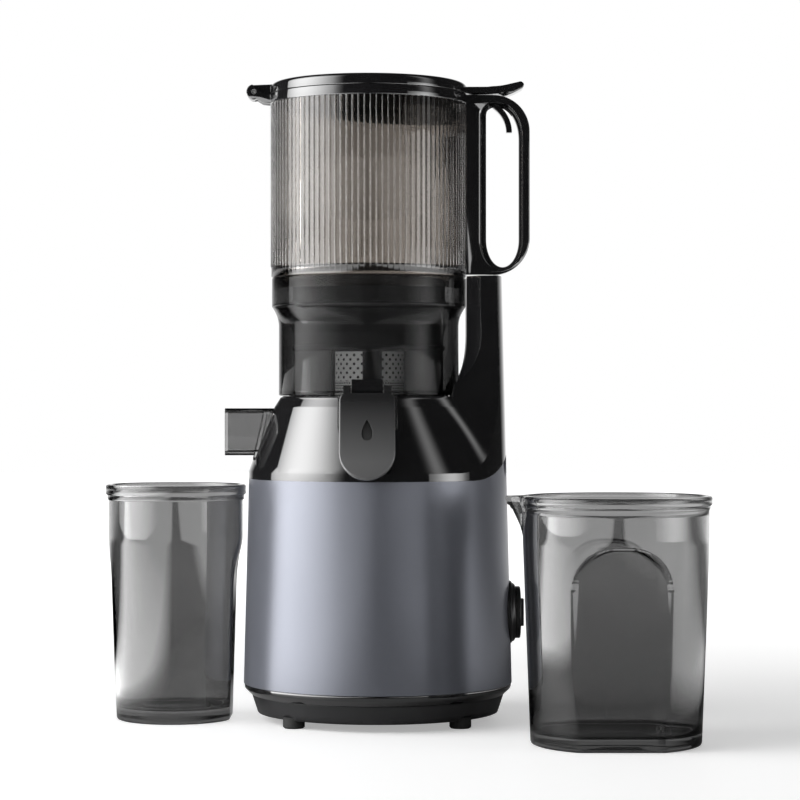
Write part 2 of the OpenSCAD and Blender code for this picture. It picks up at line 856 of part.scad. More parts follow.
holder_top = ring_band_z + 4;
holder_waist_r = 42;
holder_waist_z = shoulder_z - 14.5;
holder_z = neck_z + bowl_wall + 6;

module strainer_holder() {
    w = 2;
    lip_r = screen_r + 0.4;
    color(smoke) difference() {
        rotate_extrude() polygon([
            [ring_in - 2.4, ring_band_z + 1], [ring_in - 0.4, ring_band_z + 1],
            [ring_in - 0.4, holder_top], [ring_in - 5, holder_top],
            [holder_waist_r, holder_waist_z + 2], [lip_r, holder_waist_z - 1.6],
            [lip_r, holder_waist_z - 3.6], [holder_waist_r, holder_waist_z - 2],
            [holder_r - w, holder_waist_z - 2], [holder_r - w, holder_z],
            [holder_r, holder_z], [holder_r, holder_waist_z - 0.4],
            [holder_waist_r + w + 0.6, holder_waist_z], [ring_in - 4.4 + 1.2, ring_band_z]
        ]);
        // windows towards the tap and the pulp outlet
        rotate([0, 0, -90]) translate([holder_r - 12, -screen_r - 1, holder_z - 1])
            cube([20, 2 * screen_r + 2, holder_waist_z - 5 - holder_z + 1]);
        rotate([0, 0, 180]) translate([holder_r - 10, -14, holder_z - 1]) cube([20, 28, 30]);
    }
}

screen_top = holder_waist_z - 3.6;
screen_z = screen_top - screen_h;
frame_t = 2.6;

module strainer_screen() {
    rows = 5;
    pitch_z = 4.45;
    hole_r = 0.95;
    color(steel) difference() {
        tube(screen_r, screen_r - screen_wall, screen_z, screen_top);
        for (row = [0 : rows - 1], i = [0 : screen_holes - 1])
            translate([0, 0, screen_top - 3.6 - row * pitch_z])
                rotate([0, 0, (i + (row % 2) / 2) * 360 / screen_holes])
                    rod_x(0, 0, hole_r, screen_r - 2, screen_r + 1);
    }
}

module strainer_frame() {
    ribs = 4;
    r0 = screen_r + run_gap;
    rib_w = 13;
    color(black_satin) {
        tube(r0 + frame_t, r0, screen_z, screen_z + 7);
        tube(r0 + frame_t, screen_r - screen_wall, screen_z - 3, screen_z - seat_gap);
        tube(r0 + frame_t, r0, screen_z - seat_gap - bite, screen_z + bite);
        for (i = [0 : ribs - 1]) intersection() {
            tube(r0 + frame_t, r0, screen_z + 6.9, screen_top - 0.4);
            rotate([0, 0, i * 360 / ribs - 84]) translate([0, -rib_w / 2, 0])
                cube([60, rib_w, 400]);
        }
        // foot that stands on the floor of the bowl
        tube(r0 + frame_t, r0 - 3, neck_z + bowl_wall + seat_gap, screen_z - 3 + bite);
    }
}

auger_r = screen_r - screen_wall - auger_gap;
auger_z = neck_z + 7;
auger_core = 13;
auger_top = screen_top + 2;

module auger() {
    starts = 2;
    blade = 15;
    cone_h = 22;
    head_r = holder_waist_r - 8;
    color(black_satin) difference() {
        union() {
            translate([0, 0, auger_z]) cylinder(h = 5 + bite, r = auger_core - 1);
            translate([0, 0, auger_z + 5])
                linear_extrude(height = auger_top - auger_z - 5, twist = -420, slices = 40,
                        $fn = 12 * starts)
                    polygon([for (s = [0 : starts - 1], a = [-75 : 15 : 75])
                        let(r = abs(a) <= blade ? auger_r : auger_core, b = a + s * 360 / starts)
                        r * [cos(b), sin(b)]]);
            translate([0, 0, auger_top - bite])
                cylinder(h = cone_h, r1 = auger_core - 1, r2 = 7);
            translate([0, 0, auger_top + cone_h - 2 * bite]) cylinder(h = 5, r1 = 7, r2 = 3);
            intersection() {
                translate([0, 0, auger_top + 1]) cylinder(h = 14, r1 = head_r - 8, r2 = head_r);
                translate([-60, -2.5, auger_top + 1]) cube([120, 5, 14]);
            }
        }
        translate([0, 0, auger_z - 1])
            cylinder(h = hex_z + hex_h + 1 - auger_z, r = (hex_af + 2 * run_gap) / sqrt(3), $fn = 6);
    }
}

// ---------------------------------------------------------------- juice tap

block_half = 10.5;
tap_pin_r = 1.6;
knuckle_r = 3.4;

module tap_block() {
    color(black_gloss) difference() {
        union() {
            translate([-block_half, hinge_y - 1, hinge_z + 0.4])
                cube([2 * block_half, -hinge_y + 1 - bowl_r + 3, 7]);
            rod_x(hinge_y, hinge_z, knuckle_r, -block_half, block_half);
        }
        translate([0, 0, bowl_z - 20]) cylinder(h = 60, r = bowl_r);
        rod_x(hinge_y, hinge_z, tap_pin_r, -30, 30);
    }
}

module tap_pin() {
    color(steel) rod_x(hinge_y, hinge_z, tap_pin_r, -block_half - 5, block_half + 5);
}

module tap_flap() {
    color(smoke) difference() {
        at_tap() {
            along_y(flap_back - flap_t, flap_back) {
                translate([-flap_w / 2, -flap_l - 2.8 + flap_w / 2])
                    square([flap_w, flap_l - flap_w / 2 - 5]);
                translate([0, -flap_l - 2.8 + flap_w / 2]) circle(d = flap_w);
                translate([-flap_w / 2 + 5, -8]) square([flap_w - 10, 5.8]);
                for (sx = [-1, 1]) translate([sx * (flap_w / 2 - 5), -7.8]) circle(r = 5);
            }
            for (sx = [-1, 1]) translate([sx * (block_half + 3) - 2.5, 0, 0]) {
                rod_x(0, 0, knuckle_r, 0, 5);
                translate([0, flap_back - 2, -knuckle_r - 2]) cube([5, -flap_back + 3, knuckle_r + 2]);
            }
        }
        rod_x(hinge_y, hinge_z, tap_pin_r + run_gap, -60, 60);
        at_tap() translate([-block_half - 0.5, flap_back - 0.6, -knuckle_r - 0.8])
            cube([2 * block_half + 1, 10, 20]);
    }
}

module tap_seal() {
    color(silicone) at_tap() translate([0, flap_back, -spout_drop]) rotate([-90, 0, 0])
        cylinder(h = 0.9 - seat_gap, r = spout_r);
}

// ---------------------------------------------------------------- hopper

hopper_in = hopper_r - hopper_wall;
plain_h = 8;
hopper_neck_r = ring_in - slide_gap;
hinge_x = -hopper_r - 11.5;
lid_hinge_z = lid_z + 1.6;
lid_pin_r = 1.75;
ear_half = 9;
knuckle_half = 5.6;

function flute_points() = [for (i = [0 : 2 * flutes - 1])
    let(r = i % 2 == 0 ? hopper_r : hopper_r - flute_depth, a = i * 180 / flutes)
    [r * cos(a), r * sin(a)]];

module hopper_shell() {
    color(warm_smoke) {
        difference() {
            union() {
                translate([0, 0, hopper_z + plain_h - bite])
                    linear_extrude(height = rim_z - hopper_z - plain_h + bite)
                        polygon(flute_points());
                translate([0, 0, hopper_z]) cylinder(h = plain_h, r = hopper_r - 0.3);
                translate([0, 0, hopper_z - 8]) cylinder(h = 8 + bite, r = hopper_neck_r);
            }
            translate([0, 0, hopper_z - 9]) cylinder(h = 12, r = hopper_neck_r - hopper_wall);
            translate([0, 0, hopper_z + 2.9])
                cylinder(h = 4, r1 = hopper_neck_r - hopper_wall, r2 = hopper_in);
            translate([0, 0, hopper_z + 6.8]) cylinder(h = hopper_h, r = hopper_in);
        }
    }
}

// Black rim with the ears of the lid's hinge
module hopper_rim() {
    color(black_gloss) difference() {
        union() {
            translate([0, 0, rim_z]) cylinder(h = rim_h, r = hopper_r + 0.4);
            along_y(-ear_half, ear_half) {
                translate([hinge_x, lid_hinge_z]) circle(r = 5.1);
                translate([hinge_x - 2, rim_z - 1]) square([-hopper_r - hinge_x + 6, rim_h - 1]);
            }
        }
        translate([0, 0, rim_z - 5]) cylinder(h = rim_h + 10, r = hopper_in);
        translate([0, 0, rim_z - 5]) cylinder(h = 5, r = hopper_r + 0.4);
        translate([hinge_x - 20, -knuckle_half - slide_gap, lid_hinge_z - 5.6])
            cube([20 - hinge_x - hopper_r - 1.2, 2 * (knuckle_half + slide_gap), 40]);
        rod_y(hinge_x, lid_hinge_z, lid_pin_r, -40, 40);
    }
}

module lid_pin() {
    color(steel) rod_y(hinge_x, lid_hinge_z, lid_pin_r, -ear_half, ear_half);
}

// Upright rib inside the hopper that turns the food
module guide_rib() {
    z0 = hopper_z + 34;
    z1 = rim_z - skirt_h_far - 4;
    color(warm_smoke) difference() {
        along_y(-1.5, 1.5)
            polygon([[hopper_in + 1, z0], [hopper_in - 6, z0 + 6], [hopper_in - 15, z1 - 8],
                [hopper_in - 15, z1], [hopper_in + 1, z1]]);
        difference() {
            translate([0, 0, z0 - 5]) cylinder(h = z1 - z0 + 10, r = hopper_r + 20);
            translate([0, 0, z0 - 6]) cylinder(h = z1 - z0 + 12, r = hopper_in);
        }
    }
}

handle_z = hopper_z + 1.9;
handle_top = hopper_top - 0.4;
root_w = 13.4;
handle_root = hopper_r + root_w;
handle_gap_z = 5.6;
corner_r = 25;

// Outline of the loop: straight at the hopper, round at its outer corners
module handle_outline() {
    h = handle_top - handle_z;
    translate([0, handle_z]) {
        square([handle_reach - corner_r, h]);
        translate([0, corner_r]) square([handle_reach, h - 2 * corner_r]);
        for (z = [corner_r, h - corner_r]) translate([handle_reach - corner_r, z])
            circle(r = corner_r);
    }
}

// What a rounding of radius r takes from a corner at p, whose arms run in directions sx and sz
module corner_off(p, sx, sz, r) {
    difference() {
        translate([p[0] + min(0, sx * r) - (sx > 0 ? 1 : 0), p[1] + min(0, sz * r) - (sz > 0 ? 1 : 0)])
            square(r + 1);
        translate([p[0] + sx * r, p[1] + sz * r]) circle(r = r);
    }
}

module handle_opening() {
    x1 = handle_reach - grip_t;
    r_grip = x1 - handle_root - 4;
    r_root = 0.45 * (x1 - handle_root);
    z0 = handle_z + handle_gap_z;
    z1 = handle_top - grip_t;
    difference() {
        translate([handle_root, z0]) square([x1 - handle_root, z1 - z0]);
        corner_off([x1, z0], -1, 1, r_grip);
        corner_off([x1, z1], -1, -1, r_grip);
        corner_off([handle_root, z0], 1, 1, r_root);
        corner_off([handle_root, z1], 1, -1, 5);
    }
}

latch_half = 4;
finger_w = handle_reach - grip_t - handle_root;
latch_x = handle_root + 2 + 0.2 * finger_w;
latch_z = handle_top - 3.6;
hook_out = 0.6 * finger_w - 2.2;
latch_pin_r = 1.5;

module hopper_handle() {
    color(black_gloss) difference() {
        intersection() {
            along_y(-handle_w / 2, handle_w / 2) difference() {
                handle_outline();
                handle_opening();
            }
            translate([0, 0, handle_z - 5]) cylinder(h = 200, r = handle_reach + 3);
        }
        translate([0, 0, handle_z - 5]) cylinder(h = rim_z - handle_z + 5, r = hopper_r);
        translate([0, 0, rim_z - bite]) cylinder(h = 40, r = hopper_r + 0.4);
        // pocket of the latch
        translate([latch_x - 5, -latch_half - slide_gap, latch_z - 10])
            cube([5 + hook_out, 2 * (latch_half + slide_gap), 30]);
    }
    color(steel) rod_y(latch_x, latch_z, latch_pin_r, -handle_w / 2 + 2, handle_w / 2 - 2);
}

// Curved trigger that hangs into the finger opening
module lid_latch() {
    hook_r = hook_out * 2.09;
    hook_t = 3;
    x = latch_x + hook_out - hook_r;
    color(black_gloss) difference() {
        along_y(-latch_half, latch_half) {
            translate([latch_x, latch_z]) circle(r = 3.3);
            intersection() {
                difference() {
                    translate([x, latch_z - hook_r + 2]) circle(r = hook_r);
                    translate([x, latch_z - hook_r + 2]) circle(r = hook_r - hook_t);
                }
                translate([latch_x - 2, latch_z - hook_r + 1]) square([hook_out + 6, hook_r]);
            }
        }
        rod_y(latch_x, latch_z, latch_pin_r + run_gap, -20, 20);
    }
}

// ---------------------------------------------------------------- lid

module hopper_lid() {
    color(black_gloss) difference() {
        union() {
            translate([0, 0, lid_z]) rotate_extrude() polygon([
                [0, 0], [hopper_r - 0.6, 0], [hopper_r, 0.6], [hopper_r, lid_h - 3],
                [hopper_r - 2, lid_h - 1], [hopper_r - 8, lid_h - 0.4], [0, lid_h]
            ]);
            // arm and knuckle of the hinge
            along_y(-knuckle_half, knuckle_half) {
                translate([hinge_x, lid_hinge_z]) circle(r = 5.1);
                translate([hinge_x, lid_hinge_z - 1]) square([20, 6.1]);
            }
            // thumb lever
            along_y(-9, 9) {
                translate([hopper_r - 4, lid_z + 0.5]) square([24, 4.4]);
                polygon([[hopper_r + 18, lid_z + 0.5], [hopper_r + 27, lid_z + 0.8],
                    [hopper_r + 33, lid_z + 2.7], [hopper_r + 39.2, lid_z + 6.9],
                    [hopper_r + 39.6, lid_z + 9], [hopper_r + 34, lid_z + 8.3],
                    [hopper_r + 27, lid_z + 5.9], [hopper_r + 16, lid_z + 4.9]]);
            }
        }
        rod_y(hinge_x, lid_hinge_z, lid_pin_r + run_gap, -20, 20);
    }
}

skirt_r = hopper_in - 3.4;

module lid_skirt() {
    low = hopper_top - skirt_h_far;
    color(warm_smoke) difference() {
        tube(skirt_r, skirt_r - 2.2, low - 2, lid_z);
        along_y(-90, 90) polygon([
            [-90, hopper_top - skirt_h + (skirt_h_far - skirt_h) * 28 / (2 * skirt_r)],
            [90, low - (skirt_h_far - skirt_h) * 28 / (2 * skirt_r)], [90, low - 40], [-90, low - 40]
        ]);
    }
}

// ---------------------------------------------------------------- cup and jug

// Outer or inner form of a tapered vessel with arched flats; inset moves every wall in
module vessel_form(r_foot, r_neck, h, z0, inset, flats, arch_h, arch_w) {
    z_neck = arch_h - 1;
    difference() {
        union() {
            translate([0, 0, z0]) cylinder(h = z_neck - z0,
                r1 = r_foot + (r_neck - r_foot) * z0 / z_neck - inset, r2 = r_neck - inset);
            translate([0, 0, z_neck]) cylinder(h = h - z_neck, r = r_neck - inset);
        }
        for (f = flats) rotate([0, 0, f[0]]) along_x(f[1] - inset, f[1] + 40) {
            w = arch_w + 2 * inset;
            translate([-w / 2, -10]) square([w, arch_h + inset + 10 - w / 2]);
            translate([0, arch_h + inset - w / 2]) circle(d = w);
        }
    }
}

cup_x = housing_shift - housing_r(cup_h) - cup_room - cup_r;
cup_wall = 2.4;
cup_bead = 7;
cup_neck_r = cup_r - 2.2;
cup_floor = 9;
cup_arch_h = 124;
cup_arch_w = 40;
cup_flats = [[0, cup_foot_r - 0.8], [180, cup_foot_r + 1.5]];

module juice_cup() {
    body_h = cup_h - cup_bead;
    color(smoke) translate([cup_x, cup_y, 0]) difference() {
        union() {
            vessel_form(cup_foot_r, cup_neck_r, body_h, 0, 0, cup_flats, cup_arch_h, cup_arch_w);
            translate([0, 0, body_h]) cylinder(h = cup_bead, r = cup_r);
        }
        vessel_form(cup_foot_r, cup_neck_r, body_h, cup_floor, cup_wall, cup_flats,
            cup_arch_h, cup_arch_w);
        translate([0, 0, body_h]) cylinder(h = cup_bead + 1, r = cup_neck_r - cup_wall);
    }
}

jug_wall = 2.6;
jug_bead = 6;
jug_neck_r = jug_r - 1.9;
jug_floor = 8;
jug_arch_h = 126;
jug_arch_w = 60.4;
jug_flats = [[90, jug_foot_r - 7.2], [270, jug_foot_r - 7.2]];
spout_reach = 7.6;
spout_h = 25;
spout_half = 17;

// Pouring lip: a wedge that leans out of the wall; inset moves its walls in
module jug_spout(inset) {
    x_tip = -jug_r - spout_reach + 1.8 * inset;
    x_root = -jug_neck_r + 14;
    x_wall = -jug_neck_r + 2.5;
    low = jug_h - spout_h;
    difference() {
        translate([0, 0, low]) linear_extrude(height = spout_h + inset)
            polygon([[x_tip, 0], [x_root, -spout_half + inset], [x_root, spout_half - inset]]);
        along_y(-40, 40) polygon([
            [x_tip - 1, jug_h - 3], [x_tip, jug_h - 3], [x_wall + inset, low],
            [x_wall, low - 9], [x_tip - 1, low - 9]
        ]);
    }
}

module pulp_jug() {
    body_h = jug_h - jug_bead;
    color(smoke) translate([jug_x, jug_y, 0]) difference() {
        union() {
            vessel_form(jug_foot_r, jug_neck_r, body_h, 0, 0, jug_flats, jug_arch_h, jug_arch_w);
            translate([0, 0, body_h]) cylinder(h = jug_bead, r = jug_r);
            jug_spout(0);
        }
        vessel_form(jug_foot_r, jug_neck_r, body_h, jug_floor, jug_wall, jug_flats,
            jug_arch_h, jug_arch_w);
        translate([0, 0, body_h]) cylinder(h = jug_bead + 1, r = jug_neck_r - jug_wall);
        jug_spout(jug_wall);
    }
}

// Centre of the footprint of the machine with its cup and its jug, which is the origin
footprint_x = (cup_x - cup_r + jug_x + jug_r) / 2;
footprint_y = (jug_y - jug_r + housing_r(inlet_z) + inlet_out) / 2;

translate([-footprint_x, -footprint_y, 0]) {
    motor_housing();
    top_cover();
    base_ring();
    base_tray();
    rubber_feet();
    tray_screws();
    cord_inlet();
    motor_stator();
    gearbox_case();
    gearbox_plate();
    idler_axle();
    shaft_bearing();
    shaft_seal();
    control_board();
    knob_bezel();
    rotary_switch();
    interlock_switch();
    interlock_pin();
    motor_rotor();
    motor_shaft();
    cooling_fan();
    idler_gear();
    output_gear();
    drive_shaft();
    control_knob();
    chamber_bowl();
    bowl_seal();
    strainer_holder();
    strainer_frame();
    strainer_screen();
    tap_block();
    tap_pin();
    tap_flap();
    tap_seal();
    auger();
    hopper_shell();
    hopper_rim();
    guide_rib();
    hopper_handle();
    lid_pin();
    hopper_lid();
    lid_skirt();
    lid_latch();
    juice_cup();
    pulp_jug();
}
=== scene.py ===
"""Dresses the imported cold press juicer: smooth moulded parts, finishes, light and camera.

Everything is worked out round the juicing axis, in millimetres, and is moved to the row's own
frame, in metres, when a piece is finished.
"""

from __future__ import annotations

import json
import logging
import math
from dataclasses import dataclass
from enum import Enum
from typing import Callable, Iterable, Sequence

import bmesh
import bpy
from mathutils import Matrix, Vector

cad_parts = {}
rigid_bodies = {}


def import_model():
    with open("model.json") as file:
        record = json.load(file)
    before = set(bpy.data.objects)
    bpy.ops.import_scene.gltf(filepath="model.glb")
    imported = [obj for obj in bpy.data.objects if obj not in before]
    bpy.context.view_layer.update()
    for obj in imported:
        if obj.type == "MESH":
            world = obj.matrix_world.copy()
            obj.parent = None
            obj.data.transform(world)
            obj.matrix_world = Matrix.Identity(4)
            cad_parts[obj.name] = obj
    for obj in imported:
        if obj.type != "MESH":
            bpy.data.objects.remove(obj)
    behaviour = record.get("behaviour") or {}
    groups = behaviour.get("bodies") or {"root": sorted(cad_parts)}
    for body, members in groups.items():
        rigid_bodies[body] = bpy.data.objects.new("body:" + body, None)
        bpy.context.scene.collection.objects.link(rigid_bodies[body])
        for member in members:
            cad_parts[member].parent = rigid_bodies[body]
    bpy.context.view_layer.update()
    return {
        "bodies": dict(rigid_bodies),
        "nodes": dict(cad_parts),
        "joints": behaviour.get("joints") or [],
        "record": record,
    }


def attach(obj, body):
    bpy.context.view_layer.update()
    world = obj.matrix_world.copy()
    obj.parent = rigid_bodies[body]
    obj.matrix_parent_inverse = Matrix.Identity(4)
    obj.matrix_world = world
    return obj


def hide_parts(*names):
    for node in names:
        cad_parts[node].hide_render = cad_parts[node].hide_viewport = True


LOG = logging.getLogger("juicer")
MM = 0.001
SMOOTH_ANGLE = math.radians(32)
UPRIGHT = Matrix.Rotation(math.pi / 2, 4, "X")
SIDEWAYS = Matrix.Rotation(math.pi / 2, 4, "Y")
# The housing's axis, to the right of the juicing axis, and the lid's hinge as X and Z.
HOUSING_X = 6.3
HINGE = (-79.5, 433.8)
# Clear pieces that cast no shadow, so that what they hold is lit.
CLEAR = ("bowl_clear", "cup_clear", "hopper_ridged", "lid_skirt_smooth", "holder_funnel")
Mesh = bmesh.types.BMesh
Socket = bpy.types.NodeSocket
Colour = tuple[float, float, float]
Point = tuple[float, float, float]
Pair = tuple[float, float]
Profile = Sequence[Pair]
Placer = Callable[[float, int], Point]


class Body(Enum):
    """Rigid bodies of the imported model."""

    BASE = "base"
    KNOB = "knob"
    CHAMBER = "chamber"
    TAP = "tap"
    HOPPER = "hopper"
    LID = "lid"
    LATCH = "latch"
    CUP = "cup"
    JUG = "jug"


class Slot(Enum):
    """Material slots of the record."""

    PAINT = "housing_paint"
    GLOSS = "black_gloss"
    SATIN = "black_satin"
    SMOKE = "smoke"
    WARM_SMOKE = "warm_smoke"
    SCREEN = "screen_steel"
    RUBBER = "rubber"


# ---------------------------------------------------------------- finishes


class Nodes:
    """A small hand for wiring the nodes of a material, a lamp or the world."""

    def __init__(self, owner: bpy.types.ID) -> None:
        """Empties the owner's node tree."""
        owner.use_nodes = True
        self.owner = owner
        self.tree = owner.node_tree
        self.tree.nodes.clear()

    def put(self, value: object, socket: Socket) -> None:
        """Joins an output to an input, or sets the input; a colour is given as a triple."""
        if isinstance(value, Socket):
            self.tree.links.new(value, socket)
        else:
            socket.default_value = (*value, 1) if socket.type == "RGBA" else value

    def add(self, kind: str, **values: object) -> bpy.types.Node:
        """Adds a node.

        Args:
            kind: The node's type, as in bl_idname.
            values: Attributes of the node, or values of its inputs by name, with underscores
                for spaces. An input is set or joined, as in put.

        Returns:
            The new node.
        """
        node = self.tree.nodes.new(kind)
        for key, value in values.items():
            if hasattr(node, key):
                setattr(node, key, value)
            else:
                self.put(value, node.inputs[key.replace("_", " ")])
        return node

    def surface(self, **values: object) -> bpy.types.Material:
        """Adds the main shader, joined to the output.

        Args:
            values: Values of the shader's inputs, as for add.

        Returns:
            The finished material.
        """
        shader = self.add("ShaderNodeBsdfPrincipled", **values)
        self.add("ShaderNodeOutputMaterial", Surface=shader.outputs[0])
        return self.owner

    def place(self, kind: str = "Object") -> Socket:
        """Gives the coordinates of the shaded point."""
        return self.add("ShaderNodeTexCoord").outputs[kind]

    def axes(self, source: Socket) -> bpy.types.bpy_prop_collection:
        """Splits a vector into outputs called X, Y and Z."""
        return self.add("ShaderNodeSeparateXYZ", Vector=source).outputs

    def step(self, kind: str, *values: object) -> Socket:
        """Adds one step of arithmetic on numbers or sockets and returns its result."""
        node = self.add("ShaderNodeMath", operation=kind)
        for value, socket in zip(values, node.inputs):
            self.put(value, socket)
        return node.outputs[0]

    def noise(self, scale: float, detail: float = 2.0, stretch: Point = (1, 1, 1)) -> Socket:
        """Adds noise on object coordinates.

        Args:
            scale: Spots to a metre.
            detail: Octaves of finer noise.
            stretch: Scale along each axis, for brushed or drawn grain.

        Returns:
            The noise value's socket.
        """
        mapping = self.add("ShaderNodeMapping", Scale=stretch, Vector=self.place())
        return self.add("ShaderNodeTexNoise", Scale=scale, Detail=detail,
                        Vector=mapping.outputs[0]).outputs[0]

    def ramp(self, source: Socket, low: float = 0.0, high: float = 1.0, start: float = 0.3,
             end: float = 0.7) -> Socket:
        """Maps a value from start..end to low..high and returns the result's socket."""
        return self.add("ShaderNodeMapRange", From_Min=start, From_Max=end, To_Min=low,
                        To_Max=high, Value=source).outputs[0]

    def polish(self, scale: float, detail: float, middle: float, low: float, high: float
               ) -> Socket:
        """Varies a roughness with noise.

        Args:
            scale: Spots to a metre.
            detail: Octaves of finer noise.
            middle: The finish's own roughness.
            low: Smallest roughness as a share of it.
            high: Largest roughness as a share of it.

        Returns:
            The roughness's socket.
        """
        return self.ramp(self.noise(scale, detail), middle * low, middle * high)

    def blend(self, first: Colour | Socket, second: Colour | Socket, factor: Socket) -> Socket:
        """Mixes two colours and returns the result's socket."""
        return self.add("ShaderNodeMix", data_type="RGBA", A=first, B=second,
                        Factor=factor).outputs["Result"]

    def bump(self, source: Socket, depth_mm: float, strength: float, edge_mm: float = 0.0
             ) -> Socket:
        """Bends the normal with a height map.

        Args:
            source: Height from 0 to 1.
            depth_mm: Height of the relief.
            strength: Share of the bend that is used.
            edge_mm: Radius of rounded edges under the relief, or 0 for none.

        Returns:
            The normal's socket.
        """
        bump = self.add("ShaderNodeBump", Strength=strength, Distance=depth_mm * MM,
                        Height=source)
        if edge_mm:
            edge = self.add("ShaderNodeBevel", samples=4, Radius=edge_mm * MM)
            self.put(edge.outputs[0], bump.inputs["Normal"])
        return bump.outputs[0]

    def mixed(self, factor: Socket, first: bpy.types.Node, second: bpy.types.Node
              ) -> bpy.types.Node:
        """Mixes two shaders."""
        node = self.add("ShaderNodeMixShader")
        for value, socket in zip((factor, first.outputs[0], second.outputs[0]), node.inputs):
            self.put(value, socket)
        return node


def new_material(name: str) -> Nodes:
    """Makes an empty material and gives its nodes."""
    return Nodes(bpy.data.materials.new(name))


def shaded(colour: Colour, share: float, lift: float = 0.0) -> Colour:
    """Takes a colour times a share, and lifts it."""
    return tuple(c * share + lift for c in colour)


@dataclass(frozen=True)
class Moulding:
    """Opaque moulded plastic or rubber, from polished to matt."""

    name: str
    colour: Colour
    roughness: float
    grain_mm: float = 0.012
    grain_scale: float = 1600.0
    ior: float = 1.5
    coat: float = 0.0
    edge_mm: float = 0.5
    shine: float = 0.5

    def make(self) -> bpy.types.Material:
        """Builds the material with its grain, uneven polish and rounded edges."""
        nodes = new_material(self.name)
        return nodes.surface(
            IOR=self.ior, Coat_Weight=self.coat, Coat_Roughness=0.04,
            Specular_IOR_Level=self.shine,
            Base_Color=nodes.blend(self.colour, shaded(self.colour, 1.12, 0.002),
                                   nodes.ramp(nodes.noise(60))),
            Roughness=nodes.polish(35, 3, self.roughness, 0.88, 1.12),
            Normal=nodes.bump(nodes.noise(self.grain_scale, 3), self.grain_mm, 0.6,
                              self.edge_mm))


@dataclass(frozen=True)
class SatinPaint:
    """Satin metallic paint with fine flakes, as on the housing."""

    name: str
    colour: Colour
    roughness: float
    metallic: float

    def make(self) -> bpy.types.Material:
        """Builds the material with flakes and a very fine orange peel."""
        nodes = new_material(self.name)
        return nodes.surface(
            Metallic=self.metallic, IOR=1.5,
            Base_Color=nodes.blend(shaded(self.colour, 0.94), shaded(self.colour, 1.06),
                                   nodes.ramp(nodes.noise(5200, 1))),
            Roughness=nodes.polish(30, 2, self.roughness, 0.96, 1.04),
            Normal=nodes.bump(nodes.noise(2600, 2), 0.006, 0.5, 0.5))


@dataclass(frozen=True)
class SmokyResin:
    """Tinted clear moulded resin, deeper in a thick base where it has one.

    Where the wall is seen from the side, its colour is taken times rim's first number, from
    its second to its third share of slant. A first number above 1 paints a highlight there.
    """

    name: str
    colour: Colour
    roughness: float = 0.02
    ior: float = 1.52
    shine: float = 0.9
    edge_mm: float = 0.0
    base_share: float = 1.0
    base_z: float = 0.0
    mirror: float = 1.0
    rim: tuple[float, float, float] = (1.0, 0.3, 0.7)

    def make(self) -> bpy.types.Material:
        """Builds the clear material, with the faint flow of a moulded wall."""
        nodes = new_material(self.name)
        tint = nodes.blend(self.colour, shaded(self.colour, 1.04),
                           nodes.ramp(nodes.noise(18, 2)))
        if self.base_z:
            height = nodes.axes(nodes.place())["Z"]
            tint = nodes.blend(tint, shaded(self.colour, self.base_share), nodes.ramp(
                height, start=self.base_z + 0.001, end=self.base_z - 0.001))
        share, start, end = self.rim
        if share != 1.0:
            slant = nodes.add("ShaderNodeLayerWeight", Blend=0.5).outputs["Facing"]
            side = nodes.add("ShaderNodeVectorMath", operation="SCALE",
                             Scale=nodes.ramp(slant, 1.0, share, start, end))
            nodes.put(tint, side.inputs[0])
            tint = side.outputs[0]
        return nodes.surface(
            Transmission_Weight=1.0, IOR=self.ior, Specular_IOR_Level=self.shine,
            Specular_Tint=(self.mirror,) * 3, Base_Color=tint,
            Roughness=nodes.polish(40, 2, self.roughness, 0.8, 1.3),
            Normal=nodes.bump(nodes.noise(70, 1), 0.02, 0.35, self.edge_mm))


@dataclass(frozen=True)
class PaintedShadeResin:
    """Dark clear resin over a dark part, drawn with painted light set by height: painted shade
    towards its upper end, paler towards its lower end.
    """

    name: str
    high: Colour
    low: Colour
    high_z: float
    low_z: float
    roughness: float

    def make(self) -> bpy.types.Material:
        """Builds the resin, with its painted shade set by height."""
        nodes = new_material(self.name)
        height = nodes.axes(nodes.place())["Z"]
        return nodes.surface(
            IOR=1.5, Coat_Weight=0.6, Coat_Roughness=0.08,
            Base_Color=nodes.blend(self.high, self.low,
                                   nodes.ramp(height, start=self.high_z, end=self.low_z)),
            Roughness=nodes.polish(40, 2, self.roughness, 0.9, 1.1),
            Normal=nodes.bump(nodes.noise(1400, 2), 0.004, 0.5, 0.4))


@dataclass(frozen=True)
class Metal:
    """Bare metal with drawn or turned grain."""

    name: str
    colour: Colour
    roughness: float
    stretch: Point = (1, 1, 1)

    def make(self) -> bpy.types.Material:
        """Builds the metal with its grain in roughness and relief."""
        nodes = new_material(self.name)
        grain = nodes.noise(900, 3, self.stretch)
        return nodes.surface(
            Metallic=1.0, IOR=1.5,
            Base_Color=nodes.blend(shaded(self.colour, 0.92), self.colour, nodes.ramp(grain)),
            Roughness=nodes.ramp(grain, self.roughness * 0.8, self.roughness * 1.2),
            Normal=nodes.bump(grain, 0.01, 0.4))


@dataclass(frozen=True)
class Punching:
    """One field of staggered round holes, in metres.

    The hole's radius and the distance between two rows are shares of the pitch.
    """

    pitch: float
    hole: float
    rise: float
    low: float
    high: float


